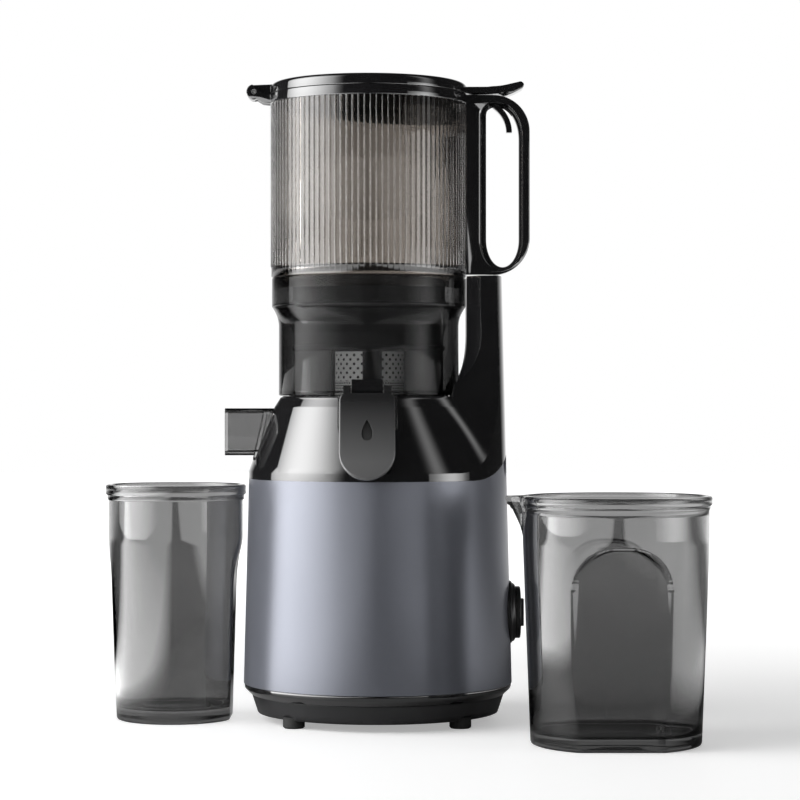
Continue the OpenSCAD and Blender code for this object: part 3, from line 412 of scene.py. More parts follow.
@dataclass(frozen=True)
class PunchedSteel:
    """Bright sheet steel with rows of fine punched holes below the large ones."""

    name: str
    colour: Colour
    dark: Colour = (0.012, 0.012, 0.012)
    centre: Pair = (-0.0199979, 0.0481734)
    radius: float = 0.0246
    blur: float = 0.00009
    fields: tuple[Punching, Punching] = (Punching(0.002, 0.33, 0.87, 0.193, 0.2337),
                                         Punching(0.0057, 0.165, 0.535, 0.2337, 0.2535))

    def make(self) -> bpy.types.Material:
        """Builds the steel, with staggered dark holes set out round the screen."""
        nodes = new_material(self.name)
        mapping = nodes.add("ShaderNodeMapping", Vector=nodes.place(),
                            Location=(-self.centre[0], -self.centre[1], 0))
        axes = nodes.axes(mapping.outputs[0])
        hole = nodes.step("MAXIMUM", *(self.punched(nodes, axes, f) for f in self.fields))
        return nodes.surface(
            Metallic=0.0, IOR=1.5, Base_Color=nodes.blend(self.colour, self.dark, hole),
            Roughness=nodes.ramp(nodes.noise(1500, 2), 0.42, 0.52),
            Normal=nodes.bump(nodes.step("SUBTRACT", 1.0, hole), 0.15, 0.8))

    def punched(self, nodes: Nodes, axes: bpy.types.bpy_prop_collection, field: Punching
                ) -> Socket:
        """Sets out one field of holes.

        Args:
            nodes: The material's nodes.
            axes: The place of the shaded point round the screen's axis, as X, Y and Z.
            field: The holes and where they start and end.

        Returns:
            A socket that is 1 inside a hole.
        """
        step, pitch = nodes.step, field.pitch
        count = round(2 * math.pi * self.radius / pitch)
        row = step("DIVIDE", axes["Z"], pitch * field.rise)
        stagger = step("MULTIPLY", step("FLOORED_MODULO", step("FLOOR", row), 2.0), 0.5)
        turn = step("MULTIPLY", step("ARCTAN2", axes["Y"], axes["X"]), count / (2 * math.pi))
        du = step("SUBTRACT", step("FRACT", step("ADD", turn, stagger)), 0.5)
        dv = step("MULTIPLY", step("SUBTRACT", step("FRACT", row), 0.5), field.rise)
        away = step("SQRT", step("ADD", step("MULTIPLY", du, du), step("MULTIPLY", dv, dv)))
        edge = self.blur / pitch
        inside = nodes.ramp(away, 1.0, 0.0, field.hole - edge, field.hole + edge)
        return step("MULTIPLY", inside, step("MULTIPLY", step("LESS_THAN", axes["Z"], field.high),
                                             step("GREATER_THAN", axes["Z"], field.low)))


class Finishes:
    """Every finish of the machine, made once."""

    def __init__(self) -> None:
        """Builds the materials."""
        self.paint = SatinPaint("satin_grey_paint", (0.19, 0.199, 0.231), 0.29, 0.5).make()
        self.gloss = Moulding("polished_black", (0.006, 0.006, 0.0065), 0.06, 0.0015, 900,
                              ior=1.9, coat=1.0).make()
        self.satin = Moulding("satin_black", (0.02, 0.02, 0.021), 0.38, 0.015).make()
        self.holder = Moulding("smoky_black", (0.035, 0.035, 0.0355), 0.5, 0.001,
                               shine=0.2).make()
        self.knob = Moulding("soft_black", (0.011, 0.011, 0.0115), 0.3, 0.006).make()
        # A dark sheet of painted shade in the flap's drop, paler towards its lower end.
        self.shade_sheet = PaintedShadeResin("drop_shade", (0.012, 0.012, 0.012), (0.05, 0.05, 0.05),
                                0.205, 0.190, 0.3).make()
        # The flap: painted shade at its top, and a paler lower part that is a painted reflection
        # of the floor.
        self.flap = PaintedShadeResin("dark_tap_resin", (0.016, 0.016, 0.0165), (0.12, 0.12, 0.121),
                               0.222, 0.180, 0.2).make()
        self.rubber = Moulding("black_rubber", (0.02, 0.02, 0.02), 0.75, 0.03, 900).make()
        self.silicone = Moulding("grey_silicone", (0.2, 0.2, 0.2), 0.5, 0.01).make()
        self.nylon = Moulding("natural_nylon", (0.75, 0.74, 0.68), 0.45, 0.02).make()
        self.board = Moulding("board_green", (0.02, 0.16, 0.07), 0.35, 0.02).make()
        # rim's 3.2 paints a highlight along the sides of the cup and jug.
        self.smoke = SmokyResin("smoky_resin", (0.29, 0.29, 0.29), ior=1.6,
                                base_share=0.25, base_z=0.0085, rim=(3.2, 0.72, 0.92)).make()
        self.bowl_smoke = SmokyResin("bowl_resin", (0.4, 0.4, 0.4), edge_mm=0.5,
                                     mirror=0.12, rim=(0.15, 0.2, 0.5)).make()
        self.deep_smoke = SmokyResin("deep_smoky_resin", (0.05, 0.05, 0.05), 0.12).make()
        self.warm_smoke = SmokyResin("warm_smoky_resin", (0.37, 0.345, 0.32), ior=1.7,
                                     rim=(0.3, 0.3, 0.66)).make()
        self.steel = Metal("ground_steel", (0.62, 0.62, 0.62), 0.28).make()
        self.screen = PunchedSteel("punched_sheet_steel", (0.92, 0.92, 0.91)).make()
        self.copper = Metal("enamelled_copper", (0.65, 0.28, 0.12), 0.35, (1, 1, 12)).make()

    def for_nodes(self) -> dict[bpy.types.Material, tuple[str, ...]]:
        """Says which CAD nodes wear which finish."""
        return {
            self.paint: ("motor_housing",),
            self.gloss: ("top_cover", "base_ring", "control_knob", "knob_bezel", "tap_block",
                         "hopper_rim", "hopper_handle", "hopper_lid", "lid_latch",
                         "interlock_pin"),
            self.satin: ("base_tray", "cord_inlet", "cooling_fan", "rotary_switch",
                         "interlock_switch", "strainer_frame", "auger"),
            self.rubber: ("rubber_feet", "shaft_seal"),
            self.silicone: ("bowl_seal", "tap_seal"),
            self.nylon: ("gearbox_case", "gearbox_plate"),
            self.board: ("control_board",),
            self.smoke: ("tap_flap", "juice_cup", "pulp_jug"),
            self.bowl_smoke: ("chamber_bowl",),
            self.holder: ("strainer_holder",),
            self.deep_smoke: ("lid_skirt", "guide_rib"),
            self.warm_smoke: ("hopper_shell",),
            self.steel: ("tray_screws", "idler_axle", "shaft_bearing", "motor_rotor",
                         "motor_shaft", "idler_gear", "output_gear", "drive_shaft", "tap_pin",
                         "lid_pin"),
            self.screen: ("strainer_screen",),
            self.copper: ("motor_stator",),
        }


# ---------------------------------------------------------------- bench


class Bench:
    """Makes finished pieces from raw meshes and puts them on their bodies."""

    def __init__(self, frame: dict, finishes: Finishes) -> None:
        """Keeps the loaded frame, the finishes and the place of the juicing axis."""
        self.frame = frame
        self.finishes = finishes
        spin = next(j for j in frame["joints"] if j["name"] == "drive_spin")
        self.axis = Vector((spin["pos_m"][0], spin["pos_m"][1], 0))

    def dress(self) -> None:
        """Gives every CAD node its finish."""
        for material, names in self.finishes.for_nodes().items():
            for name in names:
                mesh = self.frame["nodes"][name].data
                mesh.materials.clear()
                mesh.materials.append(material)

    def piece(self, bm: Mesh, name: str, material: bpy.types.Material, body: Body,
              slot: Slot, stands_for: Iterable[str] = (), angle: float = SMOOTH_ANGLE
              ) -> bpy.types.Object:
        """Finishes a mesh as a piece of the machine.

        Args:
            bm: Mesh round the juicing axis, in millimetres. It is used up.
            name: The piece's name.
            material: Its finish.
            body: The body that it moves with.
            slot: The record's material slot. It is not used.
            stands_for: CAD nodes that it replaces.
            angle: Edges sharper than this stay sharp.

        Returns:
            The new object.
        """
        bmesh.ops.scale(bm, vec=(MM, MM, MM), verts=bm.verts)
        bmesh.ops.translate(bm, vec=self.axis, verts=bm.verts)
        obj = to_object(bm, name)
        mesh = obj.data
        for polygon in mesh.polygons:
            polygon.use_smooth = True
        mesh.set_sharp_from_angle(angle=angle)
        mesh.materials.append(material)
        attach(obj, body.value)
        if stands_for:
            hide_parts(*stands_for)
        LOG.info("%s: %d faces", name, len(mesh.polygons))
        return obj

    def smoothed(self, node: str, material: bpy.types.Material, body: Body, slot: Slot
                 ) -> bpy.types.Object:
        """Stands a copy with smooth walls in for a CAD node.

        Args:
            node: The node's name.
            material: The copy's finish.
            body: The body that it moves with.
            slot: The record's material slot.

        Returns:
            The new object.
        """
        return self.piece(self.copy_of(node), f"{node}_smooth", material, body, slot, [node])

    def copy_of(self, node: str) -> Mesh:
        """Copies a CAD node's mesh round the juicing axis, in millimetres, and merges it."""
        bm = bmesh.new()
        bm.from_mesh(self.frame["nodes"][node].data)
        bmesh.ops.translate(bm, vec=-self.axis, verts=bm.verts)
        bmesh.ops.scale(bm, vec=(1 / MM,) * 3, verts=bm.verts)
        bmesh.ops.remove_doubles(bm, verts=bm.verts, dist=0.002)
        return bm


def lathe(profile: Profile, steps: int = 160, closed: bool = False) -> Mesh:
    """Turns a profile round the juicing axis.

    Args:
        profile: Points as radius and height.
        steps: Segments round the axis.
        closed: Whether the last point joins the first.

    Returns:
        The turned mesh, with its poles merged and its faces outwards.
    """
    bm = bmesh.new()
    verts = [bm.verts.new((r, 0, z)) for r, z in profile]
    pairs = list(zip(verts, verts[1:])) + ([(verts[-1], verts[0])] if closed else [])
    edges = [bm.edges.new(pair) for pair in pairs]
    bmesh.ops.spin(bm, geom=verts + edges, axis=(0, 0, 1), angle=2 * math.pi, steps=steps,
                   use_merge=True)
    bmesh.ops.remove_doubles(bm, verts=bm.verts, dist=1e-4)
    bmesh.ops.recalc_face_normals(bm, faces=bm.faces)
    return bm


def polar_skin(columns: int, rows: int, place: Placer) -> Mesh:
    """Wraps a grid round the juicing axis.

    Args:
        columns: Steps round the axis.
        rows: Steps along the profile.
        place: Gives a point for an angle and a row from 0 to rows.

    Returns:
        The closed mesh, with its seam and poles merged and its faces outwards.
    """
    bm = bmesh.new()
    bmesh.ops.create_grid(bm, x_segments=columns, y_segments=rows, size=0.5)
    for vert in bm.verts:
        angle = (vert.co.x + 0.5) * 2 * math.pi
        vert.co = place(angle, round((vert.co.y + 0.5) * rows))
    bmesh.ops.remove_doubles(bm, verts=bm.verts, dist=1e-4)
    bmesh.ops.recalc_face_normals(bm, faces=bm.faces)
    return bm


def slab(outline: Profile, low: float, high: float, turn: Matrix = Matrix()
         ) -> Mesh:
    """Extrudes an outline from low to high.

    Args:
        outline: Corners in X and Y.
        low: Height of the lower face.
        high: Height of the upper face.
        turn: Places the slab.

    Returns:
        The closed slab.
    """
    bm = bmesh.new()
    face = bm.faces.new([bm.verts.new((x, y, low)) for x, y in outline])
    grown = bmesh.ops.extrude_face_region(bm, geom=[face])["geom"]
    bmesh.ops.translate(bm, vec=(0, 0, high - low),
                        verts=[v for v in grown if isinstance(v, bmesh.types.BMVert)])
    bmesh.ops.recalc_face_normals(bm, faces=bm.faces)
    bmesh.ops.transform(bm, matrix=turn, verts=bm.verts)
    return bm


def carve(bm: Mesh, cutters: Sequence[Mesh],
          operation: str = "DIFFERENCE") -> Mesh:
    """Cuts a mesh with others.

    Args:
        bm: The closed mesh that is cut.
        cutters: Closed meshes, used one after another. They are used up.
        operation: DIFFERENCE, INTERSECT or UNION.

    Returns:
        The cut mesh. bm itself is freed.
    """
    body = to_object(bm, "carved")
    for number, cutter in enumerate(cutters):
        tool = to_object(cutter, f"cutter_{number}")
        cut = body.modifiers.new("cut", "BOOLEAN")
        cut.operation, cut.solver, cut.object = operation, "EXACT", tool
        graph = bpy.context.evaluated_depsgraph_get()
        result = bpy.data.meshes.new_from_object(body.evaluated_get(graph))
        body.modifiers.clear()
        old, body.data = body.data, result
        bpy.data.meshes.remove(old)
        bpy.data.meshes.remove(tool.data)
    carved = bmesh.new()
    carved.from_mesh(body.data)
    bpy.data.meshes.remove(body.data)
    return carved


def rounded(corners: Sequence[tuple[float, ...]], radius: float = 0.6, steps: int = 4,
            closed: bool = False) -> list[Pair]:
    """Rounds the corners of a profile.

    Args:
        corners: Points in order; a third value gives a corner its own radius.
        radius: Length that a corner's rounding takes from its arms.
        steps: Points of a rounding.
        closed: Whether the last point joins the first, so that both are rounded too.

    Returns:
        The points of the rounded profile.
    """
    points: list[Pair] = []
    count = len(corners)
    for i, corner in enumerate(corners):
        here = Vector(corner[:2])
        if not closed and i in (0, count - 1):
            points.append(tuple(here))
            continue
        before = Vector(corners[i - 1][:2]) - here
        after = Vector(corners[(i + 1) % count][:2]) - here
        reach = corner[2] if len(corner) > 2 else radius
        reach = min(reach, before.length * 0.48, after.length * 0.48)
        a, b = here + before.normalized() * reach, here + after.normalized() * reach
        for k in range(steps + 1):
            t = k / steps
            points.append(tuple(a * (1 - t) ** 2 + here * 2 * t * (1 - t) + b * t ** 2))
    return points


def linked(name: str, data: bpy.types.ID) -> bpy.types.Object:
    """Makes an object from its data and links it to the scene."""
    obj = bpy.data.objects.new(name, data)
    bpy.context.scene.collection.objects.link(obj)
    return obj


def to_object(bm: Mesh, name: str) -> bpy.types.Object:
    """Puts a raw mesh in a linked object and frees it."""
    mesh = bpy.data.meshes.new(name)
    bm.to_mesh(mesh)
    bm.free()
    return linked(name, mesh)


def arc(x: float, y: float, radius: float, start: float, end: float, steps: int = 12
        ) -> list[Pair]:
    """Points on an arc round (x, y), from start to end in degrees."""
    turns = [math.radians(start + (end - start) * i / steps) for i in range(steps + 1)]
    return [(x + radius * math.cos(t), y + radius * math.sin(t)) for t in turns]


def soften(bm: Mesh, width: float, segments: int = 3,
           keep: Callable[[bmesh.types.BMEdge], bool] | None = None) -> None:
    """Rounds the sharp edges of a mesh.

    Args:
        bm: The mesh.
        width: How far the rounding reaches from an edge.
        segments: Faces across the rounding.
        keep: Says which of the sharp edges are rounded; all of them if left out.
    """
    edges = [e for e in bm.edges if e.is_manifold and e.calc_face_angle(0) > 0.6
             and (keep is None or keep(e))]
    bmesh.ops.bevel(bm, geom=edges, offset=width, offset_type="OFFSET", affect="EDGES",
                    segments=segments, profile=0.5, material=-1, clamp_overlap=True)


def smooth(t: float) -> float:
    """Eases from 0 to 1 as t goes from 0 to 1."""
    c = max(0.0, min(1.0, t))
    return c * c * (3 - 2 * c)


def mix(a: float, b: float, t: float) -> float:
    """Blends a into b."""
    return a + (b - a) * t


def soft_min(a: float, b: float, width: float) -> float:
    """Smaller of two values, with a rounded change between them."""
    return -soft_max(-a, -b, width)


def soft_max(a: float, b: float, width: float) -> float:
    """Larger of two values, with a rounded change between them."""
    return max(a, b) + max(width - abs(a - b), 0.0) ** 2 / (4 * width)


def spaced(start: float, end: float, step: float) -> list[float]:
    """Even steps from start to end, both included, at most step apart."""
    count = max(1, math.ceil(abs(end - start) / step))
    return [mix(start, end, i / count) for i in range(count + 1)]


def at(x: float, y: float = 0.0, z: float = 0.0) -> Matrix:
    """Moves to a point."""
    return Matrix.Translation((x, y, z))


def moved(bm: Mesh, place: Matrix) -> Mesh:
    """Places a mesh and hands it back."""
    bmesh.ops.transform(bm, matrix=place, verts=bm.verts)
    return bm


def rod(radius: float, low: float, high: float, steps: int = 192) -> Mesh:
    """A closed round bar on the juicing axis."""
    return lathe([(0, low), (radius, low), (radius, high), (0, high)], steps)


def oblong(left: float, right: float, front: float, back: float) -> list[Pair]:
    """Corners of an upright rectangle's outline."""
    return [(left, front), (right, front), (right, back), (left, back)]


# ---------------------------------------------------------------- top cover


@dataclass
class TopCover:
    """The black cover with its cone and the spine beside the chamber."""

    foot_r: float = 92.9
    top_r: float = 89.4
    housing_z: float = 25.5
    cover_z: float = 166.5
    cone_z: float = 171.8
    cone_top: float = 216.0
    cover_top: float = 223.4
    spine_top: float = 306.0
    cone_r: float = 67.0
    bend_z: float = 221.4
    bend_r: float = 63.7
    rim_r: float = 61.0
    blend: float = 8.0
    outer_r: float = 112.0
    clear_r: float = 69.0
    facet_u: float = 45.6
    facet_turn: float = 36.87
    sweep_r: float = 41.0
    sweep_rise: float = 2.6
    spine_half: float = 26.0
    flare_r: float = 135.0
    flare_rise: float = 31.6
    panel_edge: float = 88.0
    panel_turn: float = 95.0
    lean: float = 0.3
    lean_from: float = 16.0
    lean_run: float = 66.0
    parting_rise: float = 24.0
    recess_r: float = 57.0
    recess_z: float = 180.1
    hollow: Profile = ((62.5, 165), (83, 165), (82, 171.8), (64, 204), (62.5, 204))
    tap_half: float = 19.8
    tap_z: float = 204.2
    duct_half: float = 18.7
    duct_z: Pair = (181.4, 241.4)
    shaft_r: float = 12.05
    pin_r: float = 4.05
    pin_x: float = 81.22
    pocket_x: Pair = (75.9, 86.5)
    pocket_z: Pair = (160, 186.5)

    def wall_r(self, z: float) -> float:
        """Radius of the housing's wall at height z."""
        taper = (self.foot_r - self.top_r) * (z - self.housing_z)
        return self.foot_r - taper / (self.cover_z - self.housing_z)

    def circle(self, angle: float, centre: float, radius: float) -> float:
        """Distance to a circle round (centre, 0), in direction angle."""
        across = centre * math.sin(angle)
        return centre * math.cos(angle) + math.sqrt(max(0.0, radius ** 2 - across ** 2))

    def cone(self, angle: float, z: float) -> float:
        """Radius of the cone and its chamfer."""
        if z <= self.cone_top:
            t = (z - self.cone_z) / (self.cone_top - self.cone_z)
            return self.circle(angle, HOUSING_X * (1 - t),
                               mix(self.wall_r(self.cone_z), self.cone_r, t))
        if z <= self.bend_z:
            t = (z - self.cone_top) / (self.bend_z - self.cone_top)
            return mix(self.cone_r, self.bend_r, t)
        if z <= self.cover_top:
            t = (z - self.bend_z) / (self.cover_top - self.bend_z)
            return mix(self.bend_r, self.rim_r, t * t)
        return self.rim_r - 10

    def panel(self, angle: float, z: float) -> float:
        """Distance to the spine's front and back panels."""
        if abs(angle) > math.radians(self.panel_turn):
            return 0.0
        flare_z = self.cover_top + self.flare_rise
        width = self.spine_half
        if z < flare_z:
            width += self.flare_r - math.sqrt(self.flare_r ** 2 - (flare_z - z) ** 2)
        lean = self.lean * smooth((self.spine_top - self.lean_from - z) / self.lean_run)
        side = abs(math.sin(angle)) + lean * math.cos(angle)
        return (width + self.panel_edge * lean) / max(side, 0.02)

    def radius(self, angle: float, z: float) -> float:
        """Radius of the skin, with a soft change from cone to panel."""
        if z < self.cone_z:
            return self.outer_r
        return min(self.outer_r, soft_max(self.cone(angle, z), self.panel(angle, z), self.blend))

    def skin(self, columns: int = 480) -> Mesh:
        """Makes the closed skin of cone and spine, not yet cut to the housing's wall."""
        levels = [self.cover_z - 1, self.cone_z - 0.01]
        levels += [mix(self.cone_z, self.cone_top - 0.3, i / 12) for i in range(13)]
        levels += [self.cone_top, self.cone_top + 0.3, self.bend_z - 0.3, self.bend_z]
        levels += [mix(self.bend_z, self.cover_top, i / 3) for i in range(1, 4)]
        levels += [mix(self.cover_top, self.spine_top, i / 60) for i in range(1, 61)]
        levels += [self.spine_top + 2]
        rows = len(levels) + 1

        def place(angle: float, row: int) -> Point:
            """Gives the point of the skin at an angle and a row."""
            z = levels[min(max(row - 1, 0), len(levels) - 1)]
            turned = (angle + math.pi) % (2 * math.pi) - math.pi
            r = 0.0 if row in (0, rows) else self.radius(turned, z)
            return r * math.cos(angle), r * math.sin(angle), z

        return polar_skin(columns, rows, place)

    def build(self, bench: Bench) -> None:
        """Makes the cover and stands it in for its CAD node."""
        skin = self.skin()
        wall = lathe([(0, self.cover_z), (self.wall_r(self.cover_z), self.cover_z),
                      (self.wall_r(self.spine_top), self.spine_top), (0, self.spine_top)], 512)
        skin = carve(skin, [moved(wall, at(HOUSING_X))], "INTERSECT")
        clear = rod(self.clear_r, self.cover_top, 320, 360)
        skin = carve(skin, [clear, *self.facet_cutters(), self.parting_cutter(),
                            *self.inner_cutters()])
        bench.piece(skin, "cover_smooth", bench.finishes.gloss, Body.BASE, Slot.GLOSS,
                    ["top_cover"], math.radians(24))

    def facet_cutters(self) -> list[Mesh]:
        """Bodies that hollow the slanted facets in front of and behind the spine."""
        top = self.spine_top + 10
        sweep_z = self.cover_top + self.sweep_rise + self.sweep_r
        edge = self.facet_u - self.sweep_r
        outline = [(-150, sweep_z - self.sweep_r), *arc(edge, sweep_z, self.sweep_r, -90, 0, 40),
                   (self.facet_u, top), (-150, top)]
        turns = [Matrix.Rotation(math.radians(self.facet_turn) * side, 4, "Z") @ UPRIGHT
                 for side in (1, -1)]
        return [slab(outline, -140, 140, turn) for turn in turns]

    def parting_cutter(self) -> Mesh:
        """The room under the parting line, with the housing's raised back."""
        start = HOUSING_X + self.top_r - self.parting_rise + 0.5
        top = self.cover_z + self.parting_rise
        outline = [(-130, -20), (start + 60, -20), (start + 60, top),
                   *arc(start, top, self.parting_rise, 0, -90, 24), (-130, self.cover_z)]
        return slab(outline, -120, 120, UPRIGHT)

    def inner_cutters(self) -> list[Mesh]:
        """Bodies of the recess, the hollow under the cone, the slots and the pin's shaft."""
        tap = [(self.tap_half, 270), (-self.tap_half, 270),
               *arc(0, self.tap_z, self.tap_half, 180, 360, 32)]
        duct = oblong(-110, -45, -self.duct_half, self.duct_half)
        return [rod(self.recess_r, self.recess_z, 260.0),
                moved(lathe(self.hollow, 96, closed=True), at(HOUSING_X / 2)),
                slab(tap, 45, 110, UPRIGHT), slab(duct, *self.duct_z),
                rod(self.shaft_r, 160.0, 200.0),
                moved(rod(self.pin_r, 160.0, 340.0), at(self.pin_x)),
                slab(oblong(*self.pocket_x, -5, 5), *self.pocket_z)]


# ---------------------------------------------------------------- hopper


@dataclass
class Hopper:
    """The smoky hopper with its thin upright ridges and its black rim."""

    radius: float = 68.0
    wall: float = 2.5
    neck_r: float = 64.0
    low: float = 297.3
    seat: float = 305.3
    ridge_low: float = 312.8
    rim_z: float = 425.3
    top: float = 431.9
    ridges: int = 106
    depth: float = 0.42
    spots: Profile = ((0.0, 1.0), (0.045, 0.8), (0.085, 0.35), (0.13, 0.0), (0.3, 0.0),
                      (0.5, 0.0), (0.7, 0.0), (0.87, 0.0), (0.915, 0.35), (0.955, 0.8))
    rim_wide: float = 2.9
    ears: Pair = (-9.0, 6.0)
    ear_thick: float = 3.0
    bore_r: float = 1.75

    def build(self, bench: Bench) -> None:
        """Makes the hopper's pieces."""
        self.shell(bench)
        self.rim(bench)

    def shell(self, bench: Bench) -> None:
        """Makes the ridged shell and stands it in for its CAD node."""
        body, neck, wall = self.radius - self.depth, self.neck_r, self.wall
        profile: list[Point] = [
            (neck, self.low, 0), (neck, self.seat - 0.6, 0), (neck + 0.6, self.seat, 0),
            (body - 0.8, self.seat, 0), (body, self.seat + 0.8, 0),
            (body, self.ridge_low - 0.6, 0), (body, self.ridge_low + 0.6, 1)]
        profile += [(body, mix(self.ridge_low + 0.6, self.rim_z, i / 6), 1)
                    for i in range(1, 7)]
        inner = self.radius - wall
        profile += [(inner, self.rim_z, 0), (inner, self.seat + 7.4, 0),
                    (inner - 0.4, self.seat + 5.8, 0), (neck - wall + 0.3, self.seat + 3.2, 0),
                    (neck - wall, self.seat + 2.4, 0), (neck - wall, self.low, 0),
                    (neck, self.low, 0)]
        count = len(self.spots)

        def place(angle: float, row: int) -> Point:
            """Gives the point of the shell at an angle and a row."""
            ridge, spot = divmod(round(angle / (2 * math.pi) * self.ridges * count), count)
            share, rise = self.spots[spot]
            turn = (ridge + share) * 2 * math.pi / self.ridges
            radius, z, ridged = profile[row]
            radius += ridged * self.depth * rise
            return radius * math.cos(turn), radius * math.sin(turn), z

        shell = polar_skin(self.ridges * count, len(profile) - 1, place)
        bench.piece(shell, "hopper_ridged", bench.finishes.warm_smoke, Body.HOPPER,
                    Slot.WARM_SMOKE, ["hopper_shell"], math.radians(50))

    def rim(self, bench: Bench) -> None:
        """Makes the black rim with the two ears of the lid's hinge."""
        r, edge = self.radius + 0.4, -self.radius + 2
        outline = [(r - self.rim_wide, self.rim_z), (r, self.rim_z), (r, self.top),
                   (r - self.rim_wide, self.top)]
        ring = lathe(rounded(outline, 0.5, closed=True), 256, closed=True)
        x, z = HINGE
        outline = [*arc(x, z, 5.1, 100, 290, 24), (x + 6, z - 7.4), (edge, z - 8.2),
                   (edge, self.top - 0.05), (x + 6, self.top + 0.9)]
        ears = [slab(outline, low, low + self.ear_thick, UPRIGHT) for low in self.ears]
        for ear in ears:
            soften(ear, 0.5)
        rim = carve(ring, ears, "UNION")
        bore = moved(rod(self.bore_r, -20, 20, 32), at(x, 0, z) @ UPRIGHT)
        rim = carve(rim, [bore, rod(r - self.rim_wide, self.rim_z - 20, self.top + 20)])
        bench.piece(rim, "hopper_rim_black", bench.finishes.gloss, Body.HOPPER, Slot.GLOSS,
                    ["hopper_rim"])


@dataclass
class Handle:
    """The loop handle with its rounded opening and its latch."""

    root_r: float = 68.05
    reach: float = 111.3
    low: float = 307.2
    top: float = 431.5
    half: float = 10.0
    corner: float = 25.0
    open_x: float = 81.4
    open_low: float = 312.8
    open_top: float = 424.2
    grip: float = 7.3
    latch_x: float = 87.92
    latch_z: float = 427.9
    hook_out: float = 11.36
    bottom_rise: float = 19.0
    top_corner: tuple[float, float] = (15.0, 23.0)
    mouth: Profile = ((0, 1), (0.12, 0.94), (0.5, 0.84), (1.5, 0.66), (2.9, 0.44), (4.4, 0.21),
                      (5.6, 0.07), (6.6, 0))
    edge: float = 2.4
    root_edge: float = 3.0
    rim_r: float = 68.42
    rim_z: float = 425.28
    pocket_half: float = 4.4
    hook_share: float = 2.09

    def build(self, bench: Bench) -> None:
        """Makes the handle and its latch."""
        self.loop(bench)
        self.latch(bench)

    def opening(self) -> list[Pair]:
        """Outline of the finger opening, from the left end of its round bottom."""
        x0, x1, z0, z1 = self.open_x, self.reach - self.grip, self.open_low, self.open_top
        middle, half, rise = (x0 + x1) / 2, (x1 - x0) / 2, self.bottom_rise
        points = [(middle + half * math.cos(t), z0 + rise + rise * math.sin(t))
                  for t in (math.pi * (1 + i / 28) for i in range(29))]
        a, b = self.top_corner
        points += [(x1 - a + a * math.cos(t), z1 - b + b * math.sin(t))
                   for t in (math.pi / 2 * i / 14 for i in range(15))]
        points += arc(x0 + 6.6, z1 - 6.6, 6.6, 90, 180, 10)
        return points

    def loop(self, bench: Bench) -> None:
        """Makes the loop and stands it in for its CAD node."""
        c = self.corner
        outer = [(60.0, self.low), (self.reach - c, self.low),
                 *arc(self.reach - c, self.low + c, c, -90, 0, 20)[1:],
                 *arc(self.reach - c, self.top - c, c, 0, 90, 20), (60.0, self.top)]
        block = slab(outer, -self.half, self.half, UPRIGHT)
        soften(block, 2.2, 4, lambda e: all(v.co.x > 60.5 for v in e.verts))
        hopper = rod(self.root_r, self.low - 5, self.rim_z + 0.01)
        rim = rod(self.rim_r, self.rim_z, self.top + 20)
        x, z = self.latch_x, self.latch_z
        half = self.pocket_half
        pocket = slab(oblong(x - 5, x + self.hook_out, -half, half), z - 10,
                      self.top - 2.2)
        handle = carve(block, [hopper, rim, self.hole(), pocket])
        bench.piece(handle, "handle_loop", bench.finishes.gloss, Body.HOPPER, Slot.GLOSS,
                    ["hopper_handle"])

    def hole(self) -> Mesh:
        """Body of the finger opening, which widens in a round edge at both of its mouths."""
        outline = [Vector(point) for point in self.opening()]
        count = len(outline)
        mouth = [(self.half - depth, grow) for depth, grow in self.mouth]
        levels = [(-self.half - 1, 1.0), *((-y, grow) for y, grow in mouth),
                  *reversed(mouth), (self.half + 1, 1.0)]
        middle = sum(outline, Vector((0, 0))) / count

        def place(angle: float, row: int) -> tuple[float, float, float]:
            """Gives the point of the opening's wall at an angle and a row."""
            i = round(angle / (2 * math.pi) * count) % count
            along = (outline[(i + 1) % count] - outline[i - 1]).normalized()
            outward = Vector((along.y, -along.x))
            if outward.dot(outline[i] - middle) < 0:
                outward = -outward
            if row in (0, len(levels) + 1):
                return middle.x, levels[0 if row == 0 else -1][0], middle.y
            depth, grow = levels[row - 1]
            reach = self.edge + self.root_edge * max(0.0, -outward.x) ** 2
            point = outline[i] + outward * grow * reach
            return point.x, depth, point.y

        return polar_skin(count, len(levels) + 1, place)

    def latch(self, bench: Bench) -> None:
        """Makes the curved trigger and stands it in for its CAD node."""
        x, z, out = self.latch_x, self.latch_z, self.hook_out
        r = out * self.hook_share
        cx, cz = x + out - r, z - r + 2
        outline = [*arc(cx, cz, r, 0, 66, 20), *arc(x, z, 3.3, 80, 230, 14),
                   *arc(cx, cz, r - 3.9, 58, 0, 20)]
        hook = slab(rounded(outline, 0.1, 1, closed=True), -4, 4, UPRIGHT)
        soften(hook, 0.7, 3)
        bench.piece(hook, "latch_hook", bench.finishes.gloss, Body.LATCH, Slot.GLOSS,
                    ["lid_latch"])


